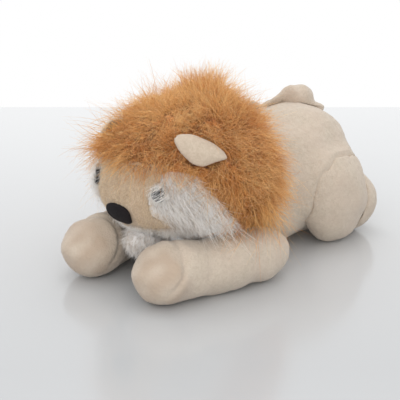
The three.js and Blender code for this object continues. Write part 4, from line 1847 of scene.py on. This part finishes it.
@dataclass
class Mane:
    """The mane's four panels: the painted shade of their pile's depth, and the long strands."""

    finishes: Finishes
    tree: bpy.types.NodeTree
    shape: ManeShape = ManeShape()
    pile: Pile = Pile(seed=8, clump=0.5, mess=0.42, curl=0.5, wisps=0.12)
    per_panel: int = 7000
    tried: int = 90000
    blur: float = 0.0010
    backing_voxel: float = 0.0016
    backing_share: float = 0.5
    backing_least: float = 0.0004
    rim: float = 0.002
    hindmost: float = -0.002
    crown_half: float = 0.024
    crown_back: float = -0.050
    off_ears: float = 0.0006
    off_body: float = 0.0008
    near_arms: tuple[Point, Point] = ((-0.08, -0.11, -0.01), (0.08, 0.0, 0.05))
    near_torso: tuple[Point, Point] = ((-0.08, -0.11, -0.01), (0.08, 0.05, 0.12))

    def build(self) -> None:
        """Makes the backings and the strands."""
        self._backings()
        self._strands()

    def _backings(self) -> None:
        """The painted shade of the pile's depth, under the strands."""
        for part in ("crown", "nape", "left", "right"):
            obj = node_copy(f"mane_{part}", f"mane_backing_{part}")
            remesh(obj, self.backing_voxel)
            points = places(obj)
            ways, depth = HEAD.ways_to(points), HEAD.depth_of(points)
            rough = 0.0011 * Waves(70, 0.006).at(points) + 0.0006 * crinkle(points, 0.003)
            wanted = depth * self.backing_share + np.where(depth > self.rim, rough, 0.0)
            move_to(obj, points + ways * (np.maximum(wanted, self.backing_least) - depth)[:, None])
            dress(obj, self.finishes.under_mane, Slot.MANE, "head", f"mane_{part}")

    def _strands(self) -> None:
        """The long strands of the mane, on all four panels."""
        rng = np.random.default_rng(7)
        ways = unit(rng.normal(size=(self.tried, 3)))
        edge = HAIRLINE.rooted(HEAD.points(ways, HEAD.cover)) + rng.normal(size=len(ways)) * self.blur
        spots = HEAD.points(ways, HEAD.pile_depth(ways) * self.backing_share * 0.5)
        keep = (edge > 0.0) & (spots[:, 2] > HAIRLINE.under + 0.0004) & (spots[:, 1] < HAIRLINE.neck - 0.0015)
        ways, spots, edge = ways[keep], spots[keep], edge[keep]
        normals = HEAD.normals(ways)
        flow = self.shape.flow(ways, normals, edge)
        lift, lay = self.shape.sizes(ways, spots, edge)
        strands = self.pile.grow(spots, normals, flow, lift, lay, self.shape.tone(ways, spots))
        for side in Side:
            strands = strands.kept(~strands.inside(node_tree(f"ear_{side.label}"), self.off_ears))
        strands.held_in(np.array([-1.0, -1.0, 0.0]), np.array([1.0, self.hindmost, 1.0]))
        for side in Side:
            strands.clear_of(node_tree(f"arm_{side.label}"), self.off_body, self.near_arms)
        strands.clear_of(node_tree("torso"), self.off_body, self.near_torso)
        self._panels(strands)

    def _panels(self, strands: Strands) -> None:
        """Shares the strands out among the panels that they grow on.

        Args:
            strands: all the strands of the mane.
        """
        across, back = strands.roots[:, 0], strands.roots[:, 1]
        crown = np.abs(across) < self.crown_half
        panels = {
            "crown": crown & (back < self.crown_back), "nape": crown & (back >= self.crown_back),
            "left": across >= self.crown_half, "right": across <= -self.crown_half,
        }
        for part, mask in panels.items():
            chosen = np.nonzero(mask)[0][: self.per_panel]
            log.info("mane %s: %d roots of %d", part, len(chosen), mask.sum())
            obj = pile_object(f"mane_pile_{part}", strands.kept(chosen), self.finishes.mane, self.tree)
            dress(obj, self.finishes.mane, Slot.MANE, "head")


@dataclass
class Nape:
    """The cloth and the pile that close the back of the head over the neck."""

    finishes: Finishes
    tree: bpy.types.NodeTree
    pile: Pile = Pile(seed=88, clump=0.45, mess=0.42, curl=0.5, wisps=0.12)
    count: int = 4600
    tried: int = 16000
    middle: float = 0.0775
    drop: float = 0.026
    thick: Span = (0.0001, 0.0006)
    overlap: float = 0.5
    first_radius: float = 0.05
    cover_share: float = 0.6
    half: float = 0.05
    heights: Span = (0.052, 0.112)
    bare: float = 0.0015
    past_cover: float = 0.002
    spread_from: float = 0.072
    upper: Span = (0.080, 0.098)
    lift: float = 0.0080
    upper_lift: float = 0.0015
    lay_share: float = 0.75
    off_body: float = 0.001

    def build(self) -> None:
        """Makes the lining and the strands on it."""
        far = HAIRLINE.neck + self.thick[1]
        self._lining(far)
        self._strands(far)

    def _lining(self, far: float) -> None:
        """A thin sheet of cloth in the neck's plane, as far back as a place, coloured with the painted shade of the
        pile's depth.

        Args:
            far: where its back is.
        """
        rim = [self._rim_spot(turn) for turn in np.linspace(-self.overlap, math.pi + self.overlap, 33)]
        rim += self._neck_line(rim[-1], rim[0], far)
        n = len(rim)
        points = np.array([(x, y, z) for y in (HAIRLINE.neck + self.thick[0], far) for x, z in rim])
        faces = [tuple(range(n)), tuple(reversed(range(n, 2 * n)))]
        faces += [(i, i + n, (i + 1) % n + n, (i + 1) % n) for i in range(n)]
        lining = mesh_object("nape_lining", points, faces)
        dress(lining, self.finishes.under_mane, Slot.MANE, "head")

    def _strands(self, far: float) -> None:
        """The strands on the lining's back, as far back as a place: outwards above, downwards below.

        Args:
            far: where their roots are.
        """
        rng = np.random.default_rng(88)
        across = rng.uniform(-self.half, self.half, self.tried)
        spots = np.stack([across, np.full(self.tried, far), rng.uniform(*self.heights, self.tried)], 1)
        line = np.array(self._neck_line((-0.06, 0.0), (0.06, 0.0), far, 60))
        bare = spots[:, 2] > np.interp(spots[:, 0], line[:, 0], line[:, 1]) + self.bare
        spots = spots[bare & (HEAD.depth_of(spots) < HEAD.cover + self.past_cover)][: self.count]
        count = len(spots)
        outward = unit(np.stack([spots[:, 0], np.zeros(count), spots[:, 2] - self.spread_from], 1))
        upper = smooth(spots[:, 2], *self.upper)[:, None]
        flow = upper * outward + (1.0 - upper) * np.array([[0.0, 0.0, -0.9]])
        flow += rng.normal(size=(count, 3)) * [0.35, 0.0, 0.35]
        lift = self.lift + self.upper_lift * upper[:, 0]
        tone = 0.5 + 0.2 * Waves(89, 0.01).at(spots)
        back = np.tile([0.0, 1.0, 0.0], (count, 1))
        strands = self.pile.grow(spots, back, flow, lift, lift * self.lay_share, tone)
        strands.clear_of(node_tree("torso"), self.off_body)
        obj = pile_object("nape_pile", strands, self.finishes.mane, self.tree)
        dress(obj, self.finishes.mane, Slot.MANE, "head")

    def _rim_spot(self, turn: float) -> Span:
        """Where the head's cloth meets the neck's plane in one direction.

        Args:
            turn: the direction in radians, from the toy's left over the top.

        Returns:
            Across and height of the spot.
        """
        radius = self.first_radius
        for _ in range(12):
            spot = np.array([[radius * math.cos(turn), HAIRLINE.neck, self.middle + radius * math.sin(turn)]])
            radius -= float(HEAD.depth_of(spot)[0]) - HEAD.cover * self.cover_share
        return float(spot[0, 0]), float(spot[0, 2])

    def _neck_line(self, start: Span, end: Span, back: float, steps: int = 24) -> list[Span]:
        """The torso's upper line in the neck's plane.

        Args:
            start: across and height of one end.
            end: those of the other.
            back: where the plane is.
            steps: how many spots the line gets.

        Returns:
            Across and height of each spot.
        """
        torso, lowest = node_tree("torso"), self.middle - self.drop
        line = []
        for x in np.linspace(start[0], end[0], steps + 2)[1:-1]:
            hit = torso.ray_cast(Vector((x, back, 0.12)), Vector((0.0, 0.0, -1.0)))[0]
            line.append((float(x), max(lowest, hit.z - 0.001) if hit else lowest))
        return line


@dataclass(frozen=True)
class Lashes:
    """White hairs that fall across an eye from the pile above and behind it.

    A span holds the least and the most of a size that each hair draws for itself.
    """

    count: int = 110
    outer: Point = (0.75, 0.45, 0.55)
    root_off: Span = (0.0050, 0.0075)
    root_spread: float = 0.0052
    tip_past: Span = (0.0005, 0.0065)
    tip_spread: float = 0.0050
    tip_blur: float = 0.0014
    tip_height: Span = (0.0032, 0.0052)
    arch: Span = (0.0075, 0.0100)
    ahead: float = 0.3
    curl: float = 0.0008
    width: Span = (0.00009, 0.00015)
    sunk: float = 0.0006

    def strands(self) -> Strands:
        """The hairs over the left eye.

        Returns:
            The hairs, as strands.
        """
        rng = np.random.default_rng(85)
        n = self.count
        eye = unit(np.array([EYE_AIM]))
        normal = HEAD.normals(eye)[0]
        middle = HEAD.points(eye, HEAD.cover)[0]
        outer = unit(np.array(self.outer))
        outer = unit(outer - outer.dot(normal) * normal)
        across = np.cross(normal, outer)
        spread = rng.uniform(-1.0, 1.0, n)
        roots = middle + outer * rng.uniform(*self.root_off, n)[:, None] + across * (spread * self.root_spread)[:, None]
        ends = middle - outer * rng.uniform(*self.tip_past, n)[:, None] + across * (spread * self.tip_spread)[:, None]
        ends += across * rng.normal(size=(n, 1)) * self.tip_blur
        ends += normal * rng.uniform(*self.tip_height, n)[:, None]
        aim = normal * rng.uniform(*self.arch, n)[:, None] + (ends - roots) * self.ahead
        lean = ends - roots - aim
        curl = rng.normal(size=(n, 3)) * self.curl
        width = rng.uniform(*self.width, n)
        return Strands(roots - normal * self.sunk, aim, lean, curl, width, rng.uniform(0.6, 1.0, n))


@dataclass
class Cheeks:
    """The white pile of the cheeks: short round the eye, long towards the neck."""

    finishes: Finishes
    tree: bpy.types.NodeTree
    lashes: Lashes = Lashes()
    pile: Pile = Pile(seed=81, clump=0.5, mess=0.25, wisps=0.09, wisp_gain=1.7, width=0.00011)
    count: int = 4200
    tried: int = 60000
    blur: float = 0.0010
    hang: float = 0.003
    brow: float = 0.0765
    lowest: float = 0.034
    pull: Point = (0.3, 0.45, -0.9)
    back: Span = (0.002, 0.020)
    down: Span = (-0.066, -0.046)
    size: float = 0.0042
    back_size: float = 0.004
    down_size: float = 0.006
    standing: float = 0.45
    lying: float = 0.9
    off_body: float = 0.0008
    near_body: tuple[Point, Point] = ((-0.08, -0.13, -0.01), (0.08, 0.0, 0.045))

    def build(self) -> None:
        """Makes both cheeks."""
        for side in Side:
            strands = self._strands().joined(self.lashes.strands())
            strands.flip(side)
            obj = pile_object(f"cheek_pile_{side.label}", strands, self.finishes.fluff, self.tree)
            dress(obj, self.finishes.fluff, Slot.WHITE, "head")

    def _strands(self) -> Strands:
        """The pile of the left cheek.

        Returns:
            The strands.
        """
        rng = np.random.default_rng(80)
        ways = unit(rng.normal(size=(self.tried, 3)) * [1.0, 1.0, 0.6] + [0.6, -0.5, 0.0])
        points = HEAD.points(ways, HEAD.cover * 0.9)
        inner = points[:, 0] - HAIRLINE.white_half(points[:, 2]) + rng.normal(size=len(points)) * self.blur
        bare = HAIRLINE.rooted(points, self.hang, self.brow) < 0.0
        chosen = np.nonzero((inner > 0.0) & bare & (points[:, 2] > self.lowest))[0][: self.count]
        ways, points, inner = ways[chosen], points[chosen], inner[chosen]
        normals = HEAD.normals(ways)
        flow = unit(along_surface(np.tile(self.pull, (len(ways), 1)), normals))
        back, down = smooth(inner, *self.back), smooth(-points[:, 2], *self.down)
        size = self.size + self.back_size * back + self.down_size * back * down
        # Strands low on the cheek and towards the face's middle are darker: painted shade under the face
        tone = 0.8 + 0.15 * Waves(82, 0.008).at(points) - 0.45 * down * smooth(0.046 - points[:, 0], 0.0, 0.012)
        strands = self.pile.grow(points, normals, flow, size * self.standing, size * self.lying, tone)
        for solid in ("arm_left", "torso"):
            strands.clear_of(node_tree(solid), self.off_body, self.near_body)
        return strands


@dataclass(frozen=True)
class Regions:
    """Where the face's short pile grows. A span holds the least and the most of a place."""

    chin_half: float = 0.0155
    chin_top: float = 0.0405
    chin_back: float = -0.074
    jaw_across: Span = (0.0185, 0.036)
    jaw_middle: float = 0.0375
    jaw_half: float = 0.0035
    jaw_back: float = -0.066
    nose_half: float = 0.0105
    nose_middle: float = 0.048
    nose_height: float = 0.0080
    past_white: float = 0.0015
    face_low: float = 0.039
    face_back: float = -0.06
    under_mane: float = 0.001

    def chin(self, points: Array) -> Array:
        """Which points lie on the chin, with a little of the lip."""
        front = points[:, 1] < self.chin_back
        return (np.abs(points[:, 0]) < self.chin_half) & (points[:, 2] < self.chin_top) & front

    def jaw(self, points: Array) -> Array:
        """Which points lie along the lower edge of the face.

        Args:
            points: the points.

        Returns:
            True for each that does.
        """
        across = np.abs(points[:, 0])
        level = np.abs(points[:, 2] - self.jaw_middle) < self.jaw_half
        return (across > self.jaw_across[0]) & (across < self.jaw_across[1]) & level & (points[:, 1] < self.jaw_back)

    def face(self, points: Array) -> Array:
        """Which points lie on the beige of the face.

        Args:
            points: the points.

        Returns:
            True for each that does.
        """
        across = np.abs(points[:, 0])
        nose = (across < self.nose_half) & (np.abs(points[:, 2] - self.nose_middle) < self.nose_height)
        inner = (across < HAIRLINE.white_half(points[:, 2]) + self.past_white) & (points[:, 2] > self.face_low)
        return inner & ~nose & (HAIRLINE.rooted(points) < self.under_mane) & (points[:, 1] < self.face_back)


@dataclass(frozen=True)
class FacePile:
    """Short pile over a part of the head's cloth."""

    name: str
    slot: Slot
    seed: int
    count: int
    size: float
    way: Point
    width: float
    bright: float = 0.6
    tried: int = 90000

    def build(self, tree: bpy.types.NodeTree, fur: bpy.types.Material, on: Callable[[Array], Array]) -> None:
        """Makes the pile.

        Args:
            tree: the geometry nodes that make strands.
            fur: what it is made of.
            on: tells which points of the head it grows on.
        """
        rng = np.random.default_rng(self.seed)
        ways = unit(rng.normal(size=(self.tried, 3)) * [0.7, 1.0, 0.9] + [0.0, -0.9, -0.1])
        points = HEAD.points(ways, HEAD.cover * 0.92)
        chosen = np.nonzero(on(points))[0][: self.count]
        ways, points = ways[chosen], points[chosen]
        normals = HEAD.normals(ways)
        flow = along_surface(np.tile(self.way, (len(points), 1)), normals)
        sizes = np.full(len(points), self.size)
        tone = self.bright + 0.2 * Waves(self.seed, 0.006).at(points)
        pile = Pile(seed=self.seed, clump=0.35, mess=0.3, wisps=0.03, wisp_gain=0.5, width=self.width)
        obj = pile_object(self.name, pile.grow(points, normals, flow, sizes * 0.5, sizes * 0.8, tone), fur, tree)
        dress(obj, fur, self.slot, "head")


@dataclass(frozen=True)
class Tuft:
    """A small tuft over its own packed form."""

    node: str
    label: str
    body: str
    slot: Slot
    seed: int
    count: int
    size: float
    way: Point
    voxel: float = 0.0012
    sunk: float = 0.0008
    lumps: float = 0.0004

    def build(self, tree: bpy.types.NodeTree, cloth: bpy.types.Material, fur: bpy.types.Material) -> None:
        """Makes the tuft.

        Args:
            tree: the geometry nodes that make strands.
            cloth: what the form under the strands is made of.
            fur: what the strands are made of.
        """
        base = node_copy(self.node, f"{self.label}_backing")
        remesh(base, self.voxel)
        relax(base, 3)
        swell(base, -self.sunk + self.lumps * Waves(self.seed, 0.004).at(places(base)))
        rng = np.random.default_rng(self.seed)
        points, normals = places(base), facings(base)
        chosen = rng.integers(0, len(points), self.count)
        points, normals = points[chosen] - normals[chosen] * self.sunk, normals[chosen]
        points = points + rng.normal(size=points.shape) * 0.0004
        flow = along_surface(np.tile(self.way, (self.count, 1)), normals)
        tone = 0.55 + 0.2 * Waves(self.seed + 5, 0.008).at(points)
        sizes = np.full(self.count, self.size)
        strands = Pile(seed=self.seed, mess=0.2).grow(points, normals, flow, sizes * 0.6, sizes * 0.7, tone)
        dress(base, cloth, self.slot, self.body, self.node)
        obj = pile_object(f"{self.label}_pile", strands, fur, tree)
        dress(obj, fur, self.slot, self.body)


@dataclass
class Tufts:
    """The bib between the paws, the face's short pile and the tuft of the tail."""

    finishes: Finishes
    tree: bpy.types.NodeTree
    regions: Regions = Regions()
    bib: Tuft = Tuft("beard", "bib", "head", Slot.WHITE, 90, 1500, 0.005, (0.0, -0.6, -1.0))
    # The chin's strands mostly take the white pile's bright end: painted light where the muzzle shades the chin
    chin: FacePile = FacePile("chin_pile", Slot.WHITE, 93, 1800, 0.0032, (0.0, -0.3, -1.0), 0.00011, bright=1.1)
    jaw: FacePile = FacePile("jaw_pile", Slot.WHITE, 95, 2400, 0.0052, (0.25, 0.0, -1.0), 0.0001)
    face: FacePile = FacePile("face_pile", Slot.FACE, 94, 7500, 0.0016, (0.0, -0.2, -1.0), 0.00009)
    tail: Tuft = Tuft("tail_tuft", "tuft", "tail_body", Slot.MANE, 91, 2600, 0.009, (-0.5, -0.2, -0.9))

    def build(self) -> None:
        """Makes each of them."""
        f, tree = self.finishes, self.tree
        self.bib.build(tree, f.white, f.fluff)
        self.chin.build(tree, f.fluff, self.regions.chin)
        self.jaw.build(tree, f.fluff, self.regions.jaw)
        self.face.build(tree, f.face_pile, self.regions.face)
        # The tail tuft's form under its strands wears the painted shade of the pile's depth
        self.tail.build(tree, f.under_mane, f.mane)


@dataclass
class Studio:
    """The pale floor, the soft light and the camera at the photograph's angle."""

    azimuth: float = 43.38
    elevation: float = 18.11
    distance: float = 0.708
    target: Point = (0.0, -0.0374, 0.0406)
    lens: float = 101.9
    floor_front: float = 1.6
    floor_back: float = 0.3925
    floor_side: float = 2.0

    def build(self) -> None:
        """Sets up the studio."""
        self._camera()
        self._floor()
        self._lights()
        bpy.context.scene.view_settings.view_transform = "Standard"

    def _back(self) -> Vector:
        """The direction from the target to the camera."""
        a, e = math.radians(self.azimuth), math.radians(self.elevation)
        return Vector((math.sin(a) * math.cos(e), -math.cos(a) * math.cos(e), math.sin(e)))

    def _camera(self) -> None:
        """Makes the camera and looks through it."""
        data = bpy.data.cameras.new("view")
        data.lens, data.sensor_width = self.lens, 36.0
        camera = bpy.data.objects.new("view", data)
        back = self._back()
        camera.location = Vector(self.target) + back * self.distance
        camera.rotation_euler = (-back).to_track_quat("-Z", "Y").to_euler()
        bpy.context.scene.collection.objects.link(camera)
        bpy.context.scene.camera = camera

    def _floor(self) -> None:
        """A pale, faintly glossy table top that ends behind the toy, painted lighter away from the camera as painted
        reflection.
        """
        a = math.radians(self.azimuth)
        far, side = Vector((-math.sin(a), math.cos(a), 0.0)), Vector((math.cos(a), math.sin(a), 0.0))
        back, front, half = far * self.floor_back, -far * self.floor_front, side * self.floor_side
        corners = np.array([tuple(corner) for corner in (back + half, back - half, front - half, front + half)])
        floor = mesh_object("floor", corners, [(0, 1, 2, 3)])
        if floor.data.polygons[0].normal.z < 0.0:
            floor.data.flip_normals()
        material, w, surface = new_material("table_top")
        place = w.place()
        turned = w.add("ShaderNodeMapping", {"Vector": place, "Rotation": (0.0, 0.0, -a)})
        depth = w.add("ShaderNodeSeparateXYZ", {0: turned.outputs[0]}).outputs[1]
        away = w.math("ADD", depth, w.math("MULTIPLY", w.noise(place, 3.0, 1.0), 0.05))
        # Lighter away from the camera: painted reflection of the bright surround at a grazing angle
        tone = w.blend(w.ramp(away, (-0.15, 0.42)), (0.50, 0.51, 0.52), (0.70, 0.71, 0.72))
        wire(w, surface, Base_Color=tone, Roughness=0.16, Specular_IOR_Level=0.6)
        floor.data.materials.append(material)

    def _lights(self) -> None:
        """An even bright surround and a large soft lamp above."""
        world = bpy.data.worlds.new("surround")
        world.use_nodes = True
        color, strength = world.node_tree.nodes["Background"].inputs[:2]
        color.default_value, strength.default_value = (1.0, 1.0, 1.0, 1.0), 1.0
        bpy.context.scene.world = world
        self._lamp("top_lamp", (-0.25, 0.25, 1.1), 0.7, 2.8)
        self._lamp("key_lamp", (0.62, -0.85, 0.50), 0.8, 3.8)

    def _lamp(self, name: str, place: Point, size: float, power: float) -> None:
        """A square soft lamp aimed at the toy.

        Args:
            name: the lamp's name.
            place: where it hangs.
            size: the length of its sides.
            power: its light in watts.
        """
        data = bpy.data.lights.new(name, "AREA")
        data.size, data.energy = size, power
        lamp = bpy.data.objects.new(name, data)
        lamp.location = place
        lamp.rotation_euler = (Vector(self.target) - Vector(place)).to_track_quat("-Z", "Y").to_euler()
        bpy.context.scene.collection.objects.link(lamp)


def main() -> None:
    """Builds the studio and every sub-assembly of the toy."""
    logging.basicConfig(level=logging.INFO, format="%(message)s")
    Studio().build()
    finishes = Finishes(Workshop())
    Body(finishes).build()
    Face(finishes).build()
    Ears(finishes).build()
    tree = strand_tree()
    for parts in (Mane(finishes, tree), Nape(finishes, tree), Cheeks(finishes, tree), Tufts(finishes, tree)):
        parts.build()


if __name__ == "__main__":
    main()
